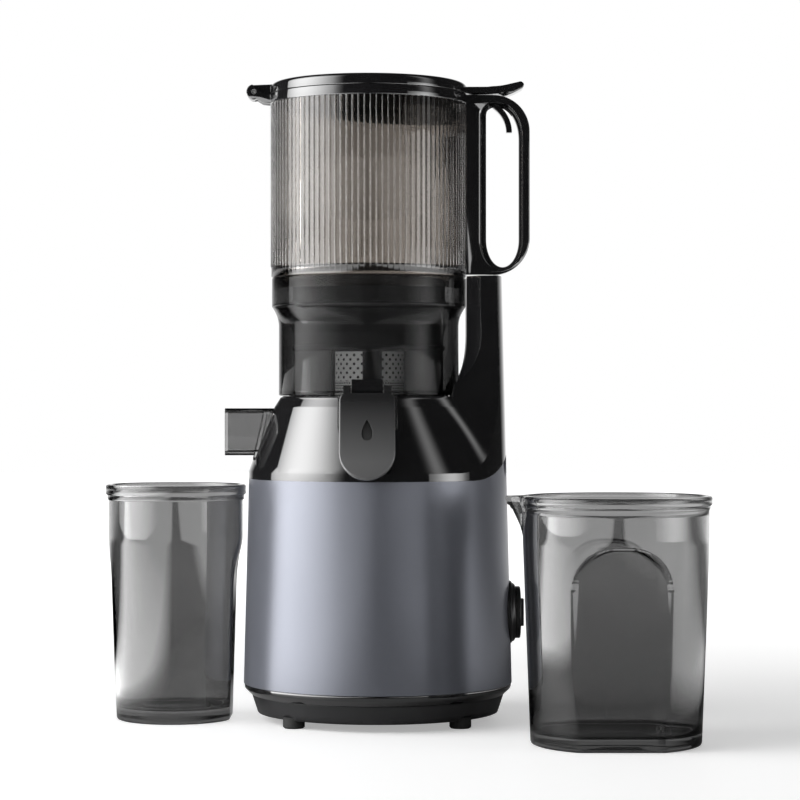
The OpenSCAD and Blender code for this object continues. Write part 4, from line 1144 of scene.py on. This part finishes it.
@dataclass
class Lid:
    """The black lid with its hinge arm and its thumb lever."""

    radius: float = 68.0
    low: float = 432.2
    thick: float = 8.2
    knuckle: float = 5.6
    lever_half: float = 9.0
    bore_r: float = 1.8

    def build(self, bench: Bench) -> None:
        """Makes the lid and stands it in for its CAD node."""
        r, z, t = self.radius, self.low, self.thick
        disc = lathe(rounded([(0, z), (r, z), (r, z + t - 2.4, 1.6), (r - 2.2, z + t - 0.7, 2),
                              (r - 9, z + t - 0.25, 3), (0, z + t)], 0.4, 5), 288)
        x, hz = HINGE
        arm = slab([*arc(x, hz, 5.1, 104, 270, 24), (x + 6, hz - 3.2), (x + 16, z + 0.1),
                    (x + 24, z + 0.1), (x + 24, z + t - 0.4), (x + 11, z + t - 1.2)],
                   -self.knuckle, self.knuckle, UPRIGHT)
        soften(arm, 0.6)
        outline = [(r - 6, z + 0.4, 0.1), (90.8, z + 0.4, 1), (93.9, z - 1.2, 1.5),
                   (99.5, z + 0.6, 4), (107.0, z + 4.6, 1.2), (107.6, z + 7.2, 1.2),
                   (105.6, z + 9.0, 1.2), (101.8, z + 8.1, 3), (91.0, z + 5.6, 5),
                   (r - 6, z + 4.9, 0.1)]
        lever = slab(rounded(outline, 1.5, 5, closed=True), -self.lever_half, self.lever_half,
                     UPRIGHT)
        soften(lever, 0.8, 3, lambda e: all(v.co.x > r - 5 for v in e.verts))
        lid = carve(disc, [arm, lever], "UNION")
        lid = carve(lid, [moved(rod(self.bore_r, -20, 20, 32), at(x, 0, hz) @ UPRIGHT)])
        bench.piece(lid, "lid_disc", bench.finishes.gloss, Body.LID, Slot.GLOSS,
                    ["hopper_lid"])


# ---------------------------------------------------------------- cup and jug


@dataclass
class Flat:
    """An arched flat pressed into a vessel's wall."""

    turn: float
    distance: float
    slope: float
    half: float
    top: float
    run_in: float
    corner: float
    side: float


@dataclass
class Vessel:
    """A clear beaker with arched flats, a thick foot and a beaded mouth."""

    name: str
    node: str
    body: Body
    x: float
    y: float
    foot_r: float
    neck_r: float
    straight_z: float
    height: float
    bead_r: float
    bead_h: float
    step_r: float
    step_h: float
    floor: float
    wall: float
    flats: tuple[Flat, ...] = ()
    spout: Point | None = None
    columns: int = 288
    fine: tuple[float, float] = (90.0, 130.0)
    fine_step: float = 2.0

    def cone(self, z: float) -> float:
        """Radius of the round wall at height z."""
        t = min(1.0, z / self.straight_z)
        return mix(self.foot_r, self.neck_r, t)

    def wall_r(self, angle: float, z: float, inset: float) -> float:
        """Radius of the wall with its flats and its lip, in direction angle."""
        radius = self.cone(z) - inset
        for flat in self.flats:
            turn = math.remainder(angle - flat.turn, 2 * math.pi)
            if abs(turn) > 1.3:
                continue
            across = abs(radius * math.sin(turn))
            inner = flat.half - flat.corner
            reach = min(max(across - inner, 0.0), flat.corner)
            top = flat.top - flat.corner + math.sqrt(flat.corner ** 2 - reach ** 2)
            lift = smooth((z - top + flat.run_in) / flat.run_in)
            side = smooth((across - flat.half) / flat.side + 0.5)
            plane = (flat.distance + flat.slope * z - inset) / math.cos(turn)
            radius = mix(soft_min(radius, plane, 0.8), radius, max(lift, side))
        if self.spout:
            reach, drop, half = self.spout
            turn = math.remainder(angle - math.pi, 2 * math.pi)
            t = (z - self.height + drop) / (drop - 3)
            if t > 0 and abs(turn) < 1.2:
                tip = mix(self.neck_r - 1, self.bead_r + reach, min(1.0, t)) - inset
                slope = (self.bead_r + reach - self.neck_r + 14) / half
                lip = tip / (math.cos(turn) + slope * abs(math.sin(turn)))
                radius = soft_max(radius, lip, 3.0)
        return radius

    def levels(self, low: float, high: float) -> list[float]:
        """Heights of the wall's rows, closer together where the flats end."""
        fine_low, fine_high = self.fine
        return [*spaced(low, fine_low, 4.0)[:-1], *spaced(fine_low, fine_high, self.fine_step),
                *spaced(fine_high, high, 4.0)[1:]]

    def build(self, bench: Bench) -> None:
        """Makes the vessel and stands it in for its CAD node."""
        top, w = self.height, self.wall
        bead_z = top - self.bead_h
        rows: list[tuple[float | None, float]] = [
            (None, 1.6), (7.0, 1.6), (5.0, 0.0), (1.6, 0.0), (0.5, 0.5), (0.0, 1.8)]
        rows += [(0.0, z) for z in self.levels(4.0, bead_z - self.step_h - 0.3)]
        step, step_z = self.neck_r - self.step_r, bead_z - self.step_h
        rows += [(step + 0.3, step_z), (step, step_z + 0.5), (step, bead_z - 0.2)]
        out = self.neck_r - self.bead_r
        rows += [(out + 0.7, bead_z), (out, bead_z + 0.8), (out, top - 1.4),
                 (out + 0.5, top - 0.4), (out + 1.4, top), (w - 0.6, top), (w, top - 0.6)]
        rows += [(w, z) for z in reversed(self.levels(self.floor + 4, top - 2.5))]
        rows += [(w + 0.5, self.floor + 2.2), (w + 1.6, self.floor + 0.8), (w + 4, self.floor),
                 (None, self.floor)]

        def place(angle: float, row: int) -> Point:
            """Gives the point of the wall at an angle and a row."""
            inset, z = rows[row]
            radius = 0.0 if inset is None else self.wall_r(angle, z, inset)
            return self.x + radius * math.cos(angle), self.y + radius * math.sin(angle), z

        skin = polar_skin(self.columns, len(rows) - 1, place)
        bench.piece(skin, self.name, bench.finishes.smoke, self.body, Slot.SMOKE, [self.node],
                    math.radians(60))


def juice_cup() -> Vessel:
    """The straight cup under the pulp outlet's side."""
    flats = (Flat(0.0, 38.4, 0.028, 20, 127, 27, 20, 6),
             Flat(math.pi, 41.2, 0.026, 20, 118, 20, 20, 6))
    return Vessel("cup_clear", "juice_cup", Body.CUP, x=-133.804, y=0, foot_r=41.0, neck_r=46.4,
                  straight_z=124, height=162.3, bead_r=48.57, bead_h=7.0, step_r=47.3,
                  step_h=3.4, floor=9.0, wall=2.4, flats=flats)


def pulp_jug() -> Vessel:
    """The larger jug with a pouring lip."""
    flats = tuple(Flat(side * math.pi / 2, 47.8, 0.0, 31.0, 128, 1.8, 26, 2.6)
                  for side in (-1, 1))
    return Vessel("jug_clear", "pulp_jug", Body.JUG, x=160.6, y=-131, foot_r=55.0, neck_r=59.9,
                  straight_z=130, height=159.3, bead_r=61.78, bead_h=6.0, step_r=60.6,
                  step_h=2.4, floor=8.0, wall=2.6, flats=flats, spout=(7.6, 25.0, 17.0),
                  columns=464, fine=(100.0, 129.6), fine_step=0.6)


# ---------------------------------------------------------------- chamber


@dataclass
class Bowl:
    """The smoky juicing bowl with its ring, tap spout, pulp duct and collar."""

    neck_z: float = 180.4
    neck_r: float = 55.0
    bowl_z: float = 223.7
    bowl_r: float = 62.4
    shoulder_z: float = 273.3
    band_z: float = 285.0
    ring_r: float = 67.2
    ring_in: float = 64.4
    top: float = 305.0
    wall: float = 2.4
    hub_r: float = 12.0
    duct_half: float = 17.5
    duct_z: float = 200.1
    duct_end: float = -98.8
    duct_high: float = 14.9
    collar_x: float = -73.4
    collar_z: float = 196.7
    collar_half: float = 18.5
    collar_thick: float = 4.6
    collar_lean: float = 13.0

    def build(self, bench: Bench) -> None:
        """Makes the bowl and stands it in for its CAD node."""
        w, n = self.wall, self.neck_z
        outer = [(self.hub_r - 2.4, n), (self.neck_r - 4, n, 2), (self.neck_r, n + 4, 2),
                 (self.neck_r, self.bowl_z, 0.3), (self.bowl_r, self.bowl_z, 0.9),
                 (self.bowl_r, self.shoulder_z, 5), (self.bowl_r + 0.9, self.shoulder_z + 5, 3),
                 (self.ring_r - 1.3, self.band_z - 1.6, 1.2), (self.ring_r, self.band_z, 1.2),
                 (self.ring_r, self.top, 0.8)]
        inner = [(self.ring_in, self.top, 0.8), (self.ring_in, self.band_z + 1, 0.8),
                 (self.ring_in - 2, self.band_z + 1, 0.8),
                 (self.bowl_r - w + 1, self.shoulder_z + 6, 3),
                 (self.bowl_r - w, self.shoulder_z, 4), (self.bowl_r - w, self.bowl_z + w, 1.5),
                 (self.neck_r - w, self.bowl_z + w, 1), (self.neck_r - w, n + 4 + w, 2),
                 (self.neck_r - 4 - w, n + w, 2), (self.hub_r, n + w, 0.5),
                 (self.hub_r, n + 6, 0.5), (self.hub_r - 2.4, n + 6, 0.5)]
        bowl = lathe(rounded([*outer, *inner], 0.5, 4, closed=True), 224, closed=True)
        room = slab(oblong(-30, 30, -120, -44), n + 0.2, n + 90)
        spout = carve(self.spout(12.9, 60), [room], "INTERSECT")
        bowl = carve(bowl, [spout, self.duct(self.duct_half, 3.6, self.duct_end, -47.0,
                                             self.duct_high), self.collar()], "UNION")
        room_r = self.neck_r - w - 0.06
        inside = lathe([(0, n + w + 0.2), (room_r - 4, n + w + 0.2), (room_r, n + w + 4.2),
                        (room_r, self.bowl_z + 1), (0, self.bowl_z + 1)], 190)
        inside = carve(inside, [rod(self.hub_r + 0.6, n, n + 8)])
        bowl = carve(bowl, [inside, self.spout(10.5, 52),
                            self.duct(self.duct_half - w, 1.4, self.duct_end - 1, -44.0,
                                      self.duct_high - w)])
        bench.piece(bowl, "bowl_clear", bench.finishes.bowl_smoke, Body.CHAMBER, Slot.SMOKE,
                    ["chamber_bowl"], math.radians(38))

    def spout(self, radius: float, length: float) -> Mesh:
        """A slanted rod behind the flap, as wide as the spout or its bore."""
        place = (at(0, -77.0, 227.0) @ Matrix.Rotation(-math.radians(12), 4, "X")
                 @ at(0, -2.1, -24.24) @ Matrix.Rotation(-math.pi / 2, 4, "X"))
        return moved(rod(radius, 0, length, 64), place)

    def duct(self, half: float, corner: float, start: float, end: float,
             high: float) -> Mesh:
        """A square bar with round corners along the pulp duct.

        Args:
            half: Half its width, and how far it reaches below the duct's middle.
            corner: Length that a corner's rounding takes.
            start: Its outer end.
            end: Its inner end.
            high: How far it reaches above the duct's middle.

        Returns:
            The closed bar.
        """
        outline = rounded(oblong(-high, half, -half, half), corner, 6, closed=True)
        return slab(outline, start, end, at(0, 0, self.duct_z) @ SIDEWAYS)

    def collar(self) -> Mesh:
        """The leaning plate round the duct, in front of the cover's cone."""
        h, t = self.collar_half, self.collar_thick / 2
        place = (at(self.collar_x, 0, self.collar_z)
                 @ Matrix.Rotation(math.radians(90 + self.collar_lean), 4, "Y"))
        outline = rounded(oblong(-h, h, -h, h), 5.0, 6, closed=True)
        plate = slab(outline, -t, t, place)
        soften(plate, 0.9)
        return plate


@dataclass
class StrainerHolder:
    """The dark funnel with its collar, flange and two windows, and the screen inside."""

    low: float = 188.8
    foot_r: float = 48.5
    wall_r: float = 51.6
    flange_r: float = 53.0
    flange_z: float = 255.0
    collar_r: float = 52.8
    collar_top: float = 306.2
    window: float = 25.6
    window_top: float = 253.6
    lip_r: float = 25.2
    screen_r: Pair = (24.0, 24.6)
    screen_z: Pair = (193.2, 255.2)

    def build(self, bench: Bench) -> None:
        """Makes the funnel and the screen and stands them in for their CAD nodes."""
        w, f, c = self.wall_r, self.flange_z, self.collar_r
        outer = [(self.foot_r, self.low), (self.foot_r, 222.4), (w, 226.0), (w, f - 0.4),
                 (self.flange_r, f), (self.flange_r, f + 2.6), (w, f + 3.4), (w + 0.3, 266.5),
                 (58.8, 283.6), (63.6, 285.3), (63.6, 287.2), (c + 1.2, 287.2), (c, 288.6),
                 (c, self.collar_top)]
        inner = [(c - 2, self.collar_top), (c - 2, 286.0), (46.5, 266.0), (42.0, 261.0),
                 (self.lip_r, 257.6), (self.lip_r, 255.6), (40.0, f - 0.6), (w - 2, f - 2.4),
                 (w - 2, 226.5), (self.foot_r - 2, 223.0), (self.foot_r - 2, self.low)]
        holder = lathe(rounded([*outer, *inner], 0.7, 3, closed=True), 224, closed=True)
        front = slab(oblong(-self.window, self.window, -60, -34), 180, self.window_top)
        side = slab(oblong(-60, -38, -14, 14), 180, 218)
        bench.piece(carve(holder, [front, side]), "holder_funnel", bench.finishes.holder,
                    Body.CHAMBER, Slot.SMOKE, ["strainer_holder"])
        low, high = self.screen_z
        within, out = self.screen_r
        sheet = lathe([(out, low), (out, high), (within, high), (within, low)], 192, closed=True)
        bench.piece(sheet, "screen_sheet", bench.finishes.screen, Body.CHAMBER, Slot.SCREEN,
                    ["strainer_screen"])


# ---------------------------------------------------------------- base and knob


@dataclass
class Foot:
    """The black ring and tray that the housing stands in."""

    tray_top_r: float = 87.3
    ring_r: float = 92.3
    ring_z: float = 17.7
    chamfer: float = 4.6
    housing_z: float = 25.5

    def build(self, bench: Bench) -> None:
        """Makes the ring and the tray and stands them in for their CAD nodes."""
        top, low = self.tray_top_r, self.ring_z
        outline = [(top - 20, low + 2), (top - 3.2, low), (top, low, 0.7),
                   (self.ring_r, low + self.chamfer, 1.2), (self.ring_r, self.housing_z, 0.5),
                   (top - 20, self.housing_z)]
        ring = lathe(rounded(outline, 0.3, 4, closed=True), 256, closed=True)
        bench.piece(moved(ring, at(HOUSING_X)), "ring_rounded", bench.finishes.gloss, Body.BASE,
                    Slot.GLOSS, ["base_ring"])
        bench.smoothed("base_tray", bench.finishes.satin, Body.BASE, Slot.SATIN)
        bench.smoothed("rubber_feet", bench.finishes.rubber, Body.BASE, Slot.RUBBER)


@dataclass
class Knob:
    """The control knob with its flared bezel on the right side."""

    wall_x: float = 98.0
    height: float = 73.5
    bezel_r: float = 22.0
    knob_r: float = 18.0
    bezel_x: float = 3.4
    knob_x: float = 7.1
    stem: Pair = (3.0, -17.9)
    bar_x: float = 9.6
    bar_half: Pair = (4.0, 9.5)
    housing: Profile = ((0, 25), (92.9, 25.5), (89.4, 166.5), (0, 167))

    def build(self, bench: Bench) -> None:
        """Makes the bezel and the knob and stands them in for their CAD nodes."""
        r, x = self.bezel_r, self.bezel_x
        bezel = self.turned(rounded([(7, -6.5), (r, -6.5), (r, 0.4, 0.8), (r - 1.6, 1.4, 1.4),
                                     (r - 2.6, x, 1.3), (7, x)], 0.3, 5, closed=True))
        bezel = carve(bezel, [moved(lathe(self.housing, 256), at(HOUSING_X))])
        bench.piece(bezel, "bezel_flared", bench.finishes.knob, Body.BASE, Slot.GLOSS,
                    ["knob_bezel"])
        r, low, high = self.knob_r, x + 0.1, self.knob_x
        stem_r, stem_x = self.stem
        knob = self.turned(rounded([(0, stem_x), (stem_r, stem_x), (stem_r, low), (r, low, 0.4),
                                    (r, high, 1.2), (r - 4, high + 0.05), (0, high)], 0.3, 5))
        a, b = self.bar_half
        bar = slab(rounded(oblong(-a, a, -b, b), 1.2, 4, closed=True), high - 0.5, self.bar_x)
        soften(bar, 0.5, 3)
        moved(bar, self.place() @ Matrix.Rotation(math.pi / 2, 4, "Z"))
        bench.piece(carve(knob, [bar], "UNION"), "knob_turned", bench.finishes.knob, Body.KNOB,
                    Slot.GLOSS, ["control_knob"])

    def place(self) -> Matrix:
        """Turns the vertical axis onto the knob's."""
        return at(self.wall_x, 0, self.height) @ SIDEWAYS

    def turned(self, profile: Profile) -> Mesh:
        """Turns a profile of radius and distance from the wall round the knob's axis."""
        return moved(lathe(profile, 128, closed=profile[0][0] > 0), self.place())


# ---------------------------------------------------------------- tap flap


@dataclass
class TapFlap:
    """The rounded flap that shuts the juice tap, with its drop-shaped thumb recess."""

    width: float = 37.4
    length: float = 58.7
    thick: float = 4.0
    back: float = -3.0
    lean: float = 12.0
    hinge_y: float = -77.0
    hinge_z: float = 227.0
    drop_z: float = -28.0
    ear_r: float = 3.4
    ear_thick: float = 5.0
    ear_x: float = 13.5
    bore_r: float = 1.65
    dent: float = 0.9

    def outline(self) -> list[Pair]:
        """Edge of the flap in its own slant, as across and along."""
        half = self.width / 2
        low = -self.length - 2.8 + half
        return [*arc(0, low, half, 180, 360, 48), *arc(half - 5, -7.8, 5, 0, 90, 8),
                *arc(-half + 5, -7.8, 5, 90, 180, 8)]

    def drop(self) -> list[Pair]:
        """Outline of the drop, with its point up."""
        turns = [i / 48 * 2 * math.pi for i in range(48)]
        return [(4.8 * math.sin(t) * math.sin(t / 2) ** 1.1, self.drop_z + 7.2 * math.cos(t))
                for t in turns]

    def build(self, bench: Bench) -> None:
        """Makes the flap and a dark sheet of painted shade in its drop, and stands the flap in
        for its node.
        """
        front, back = -self.back + self.thick, -self.back
        plate = slab(self.outline(), back, front, UPRIGHT)
        rim = [e for e in plate.edges
               if all(abs(v.co.y + front) < 1e-4 for v in e.verts)]
        bmesh.ops.bevel(plate, geom=rim, offset=1.3, offset_type="OFFSET", affect="EDGES",
                        segments=5, profile=0.5, material=-1)
        plate = carve(plate, [slab(self.drop(), front - self.dent, front + 3, UPRIGHT)])
        ears = []
        for side in (-1, 1):
            x, t = side * self.ear_x - self.ear_thick / 2, self.ear_thick
            ears.append(moved(rod(self.ear_r, 0, t, 48), at(x) @ SIDEWAYS))
            ears.append(slab(oblong(x, x + t, -5, 1), -5.4, 0))
        flap = carve(plate, ears, "UNION")
        bore = moved(rod(self.bore_r, -40, 40, 32), SIDEWAYS)
        flap = carve(flap, [bore, slab(oblong(-11, 11, -3.6, 6.4), -4.2, 15.8)])
        place = at(0, self.hinge_y, self.hinge_z) @ Matrix.Rotation(
            -math.radians(self.lean), 4, "X")
        bench.piece(moved(flap, place), "tap_flap_rounded", bench.finishes.flap, Body.TAP,
                    Slot.SMOKE, ["tap_flap"])
        # A thin dark sheet at the bottom of the drop, as painted shade.
        shade_sheet = slab(self.drop(), front - self.dent - 0.05, front - self.dent + 0.15, UPRIGHT)
        bench.piece(moved(shade_sheet, place), "drop_inlay", bench.finishes.shade_sheet, Body.TAP,
                    Slot.SATIN)


# ---------------------------------------------------------------- studio


@dataclass(frozen=True)
class Panel:
    """An upright panel lamp, brightest round a spot of its face.

    The direction is in degrees from straight behind the machine, to the left, lengths are in
    metres, and across and up give the middle and the spread of the bright spot as shares of
    the panel's width and height.
    """

    name: str
    turn: float
    away: float
    height: float
    width: float
    tall: float
    peak: float
    base: float
    across: tuple[float, float]
    up: tuple[float, float]


@dataclass(frozen=True)
class Sheet:
    """A part of the floor that is bright in reflections, in metres round the middle."""

    level: float
    across: tuple[float, float]
    share: tuple[float, float]
    along: tuple[float, float]
    stop: tuple[float, float]


def path_kinds(nodes: Nodes) -> tuple[Socket, Socket]:
    """Tells clear sight of a surface from sight of it in a reflection.

    Args:
        nodes: The nodes that ask.

    Returns:
        Sockets that are 1 where it is seen straight or through clear walls, and 1 where it
        is seen in a mirrored ray. Both are 0 for a ray mirrored behind a second wall.
    """
    path = nodes.add("ShaderNodeLightPath").outputs
    bounced = nodes.step("MINIMUM", path["Glossy Depth"], 1.0)
    seen = nodes.step("MAXIMUM", path["Is Camera Ray"], path["Is Transmission Ray"])
    outside = nodes.step("LESS_THAN", path["Transmission Depth"], 2.5)
    return (nodes.step("MULTIPLY", seen, nodes.step("SUBTRACT", 1.0, bounced)),
            nodes.step("MULTIPLY", bounced, outside))


@dataclass
class Studio:
    """Camera, floor, world and lamps.

    glow is the floor's own light beside the machine. fill is the surround's light on rays that
    are neither clear sight nor a mirrored ray, and behind is its reflected light, lowest and
    highest, with the shares of depth where they lie. fade gives the shares of a lamp's width
    between which its light falls off.
    """

    camera: Point = (0.0217, -1.771, 0.2207)
    lens: float = 114.75
    glow: float = 0.36
    fill: float = 0.26
    behind: tuple[float, float, float, float] = (0.02, 0.9, 0.84, 1.0)
    fade: Pair = (1.0, 0.8)
    panels: tuple[Panel, ...] = (
        Panel("softbox", 113, 1.5, 1.75, 2.5, 3.4, 6.1, 0.0, (0.39, 0.385), (0.25, 0.41)),
        Panel("right_panel", -110, 1.5, 1.35, 0.9, 2.6, 0.95, 0.0, (0.5, 0.24), (0.5, 0.45)),
        Panel("low_panel", -114, 1.45, 0.3, 1.1, 0.5, 3.0, 0.3, (0.5, 0.35), (0.4, 0.8)))
    sheets: tuple[Sheet, ...] = (
        Sheet(5.2, (-0.17, -0.34), (0.45, 1.0), (-0.7, -0.1), (0.12, 0.36)),
        Sheet(2.2, (0.3, 0.5), (1.0, 0.1), (-0.1, 0.5), (5.0, 6.0)),
        Sheet(0.9, (-9.0, -8.9), (0.0, 1.0), (0.9, 1.8), (20.0, 21.0)))

    def build(self, bench: Bench) -> None:
        """Sets up the whole studio round the machine."""
        scene = bpy.context.scene
        scene.view_settings.view_transform = "Standard"
        data = bpy.data.cameras.new("camera")
        data.lens, data.sensor_width, data.clip_end = self.lens, 36.0, 50.0
        camera = linked("camera", data)
        camera.location = bench.axis + Vector(self.camera)
        camera.rotation_euler = (math.pi / 2, 0, 0)
        scene.camera = camera
        self.floor()
        self.world()
        for panel in self.panels:
            self.lamp(bench.axis, panel)

    def lamp(self, axis: Vector, panel: Panel) -> None:
        """Adds an upright panel lamp that faces the machine.

        Args:
            axis: Foot of the juicing axis.
            panel: Place, size and brightness of the lamp.
        """
        data = bpy.data.lights.new(panel.name, "AREA")
        data.shape, data.size, data.size_y = "RECTANGLE", panel.width, panel.tall
        data.energy = math.pi * panel.width * panel.tall
        nodes = Nodes(data)
        step = nodes.step
        spot = nodes.axes(nodes.add("ShaderNodeNewGeometry").outputs["Parametric"])
        bells = []
        for name, (middle, spread) in (("X", panel.across), ("Y", panel.up)):
            away = step("SUBTRACT", spot[name], middle)
            bells.append(step("MULTIPLY", step("MULTIPLY", away, away), -1 / spread ** 2))
        rise = step("EXPONENT", step("ADD", *bells))
        rise = step("MULTIPLY", rise, nodes.ramp(spot["X"], 0.0, 1.0, *self.fade))
        level = step("MULTIPLY_ADD", rise, panel.peak - panel.base, panel.base)
        glow = nodes.add("ShaderNodeEmission", Strength=level)
        nodes.add("ShaderNodeOutputLight", Surface=glow.outputs[0])
        lamp = linked(panel.name, data)
        angle = math.radians(panel.turn)
        side = Vector((-math.sin(angle), math.cos(angle), 0))
        lamp.location = axis + side * panel.away + Vector((0, 0, panel.height))
        lamp.rotation_euler = side.to_track_quat("Z", "Y").to_euler()

    def floor(self) -> None:
        """Makes the pale floor, which shows white and keeps the shadow."""
        bm = bmesh.new()
        bmesh.ops.create_grid(bm, x_segments=8, y_segments=8, size=6)
        plane = to_object(bm, "floor")
        nodes = new_material("pale_floor")
        place = nodes.place()
        length = nodes.add("ShaderNodeVectorMath", operation="LENGTH")
        nodes.put(place, length.inputs[0])
        away = length.outputs["Value"]
        # dim is a darker grey that the floor shows in reflections near the machine, as painted
        # shade.
        shader, dim = (nodes.add("ShaderNodeBsdfPrincipled", Base_Color=(grey,) * 3,
                                 Roughness=0.6) for grey in (0.85, 0.4))
        glow = nodes.add("ShaderNodeEmission",
                         Strength=nodes.ramp(away, self.glow, 1.0, 0.4, 1.5))
        sheet = nodes.add("ShaderNodeEmission",
                          Strength=self.mirrored_level(nodes, nodes.axes(place)))
        both = nodes.add("ShaderNodeAddShader")
        nodes.put(shader.outputs[0], both.inputs[0])
        nodes.put(glow.outputs[0], both.inputs[1])
        mirrored = nodes.mixed(nodes.ramp(away, 0.0, 1.0, 0.2, 0.34), dim, sheet)
        seen, bounced = path_kinds(nodes)
        shown = nodes.mixed(seen, nodes.mixed(bounced, shader, mirrored), both)
        nodes.add("ShaderNodeOutputMaterial", Surface=shown.outputs[0])
        plane.data.materials.append(nodes.owner)

    def mirrored_level(self, nodes: Nodes, axes: bpy.types.bpy_prop_collection) -> Socket:
        """Sets how bright the floor is in a reflection, as the foot of each lamp is.

        Args:
            nodes: The floor material's nodes.
            axes: The floor's X and Y.

        Returns:
            The level's socket.
        """
        total: float | Socket = 0.0
        for sheet in self.sheets:
            part = nodes.ramp(axes["X"], 0.0, sheet.level, *sheet.across)
            for share in (nodes.ramp(axes["Y"], *sheet.share, *sheet.along),
                          nodes.ramp(axes["Y"], 1.0, 0.0, *sheet.stop)):
                part = nodes.step("MULTIPLY", part, share)
            total = nodes.step("ADD", total, part)
        return total

    def world(self) -> None:
        """Makes the white surround, dark in front of the machine for reflections."""
        world = bpy.data.worlds.new("surround")
        nodes = Nodes(world)
        seen, bounced = path_kinds(nodes)
        behind = nodes.ramp(nodes.axes(nodes.place("Generated"))["Y"], *self.behind)
        glossy = nodes.add("ShaderNodeMix", A=self.fill, B=behind, Factor=bounced)
        level = nodes.add("ShaderNodeMix", A=glossy.outputs["Result"], B=1.0, Factor=seen)
        back = nodes.add("ShaderNodeBackground", Color=(1, 1, 1),
                         Strength=level.outputs["Result"])
        nodes.add("ShaderNodeOutputWorld", Surface=back.outputs[0])
        bpy.context.scene.world = world


def main() -> None:
    """Builds the dressed juicer in its studio."""
    logging.basicConfig(level=logging.INFO, format="%(name)s: %(message)s")
    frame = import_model()
    look = Finishes()
    bench = Bench(frame, look)
    bench.dress()
    Studio().build(bench)
    for part in (TopCover(), Hopper(), Handle(), Lid(), Bowl(), StrainerHolder(), TapFlap()):
        part.build(bench)
    bench.smoothed("lid_skirt", look.deep_smoke, Body.LID, Slot.WARM_SMOKE)
    bench.smoothed("guide_rib", look.deep_smoke, Body.HOPPER, Slot.WARM_SMOKE)
    bench.smoothed("motor_housing", look.paint, Body.BASE, Slot.PAINT)
    for part in (Foot(), Knob(), juice_cup(), pulp_jug()):
        part.build(bench)
    for name in CLEAR:
        bpy.data.objects[name].visible_shadow = False


if __name__ == "__main__":
    main()
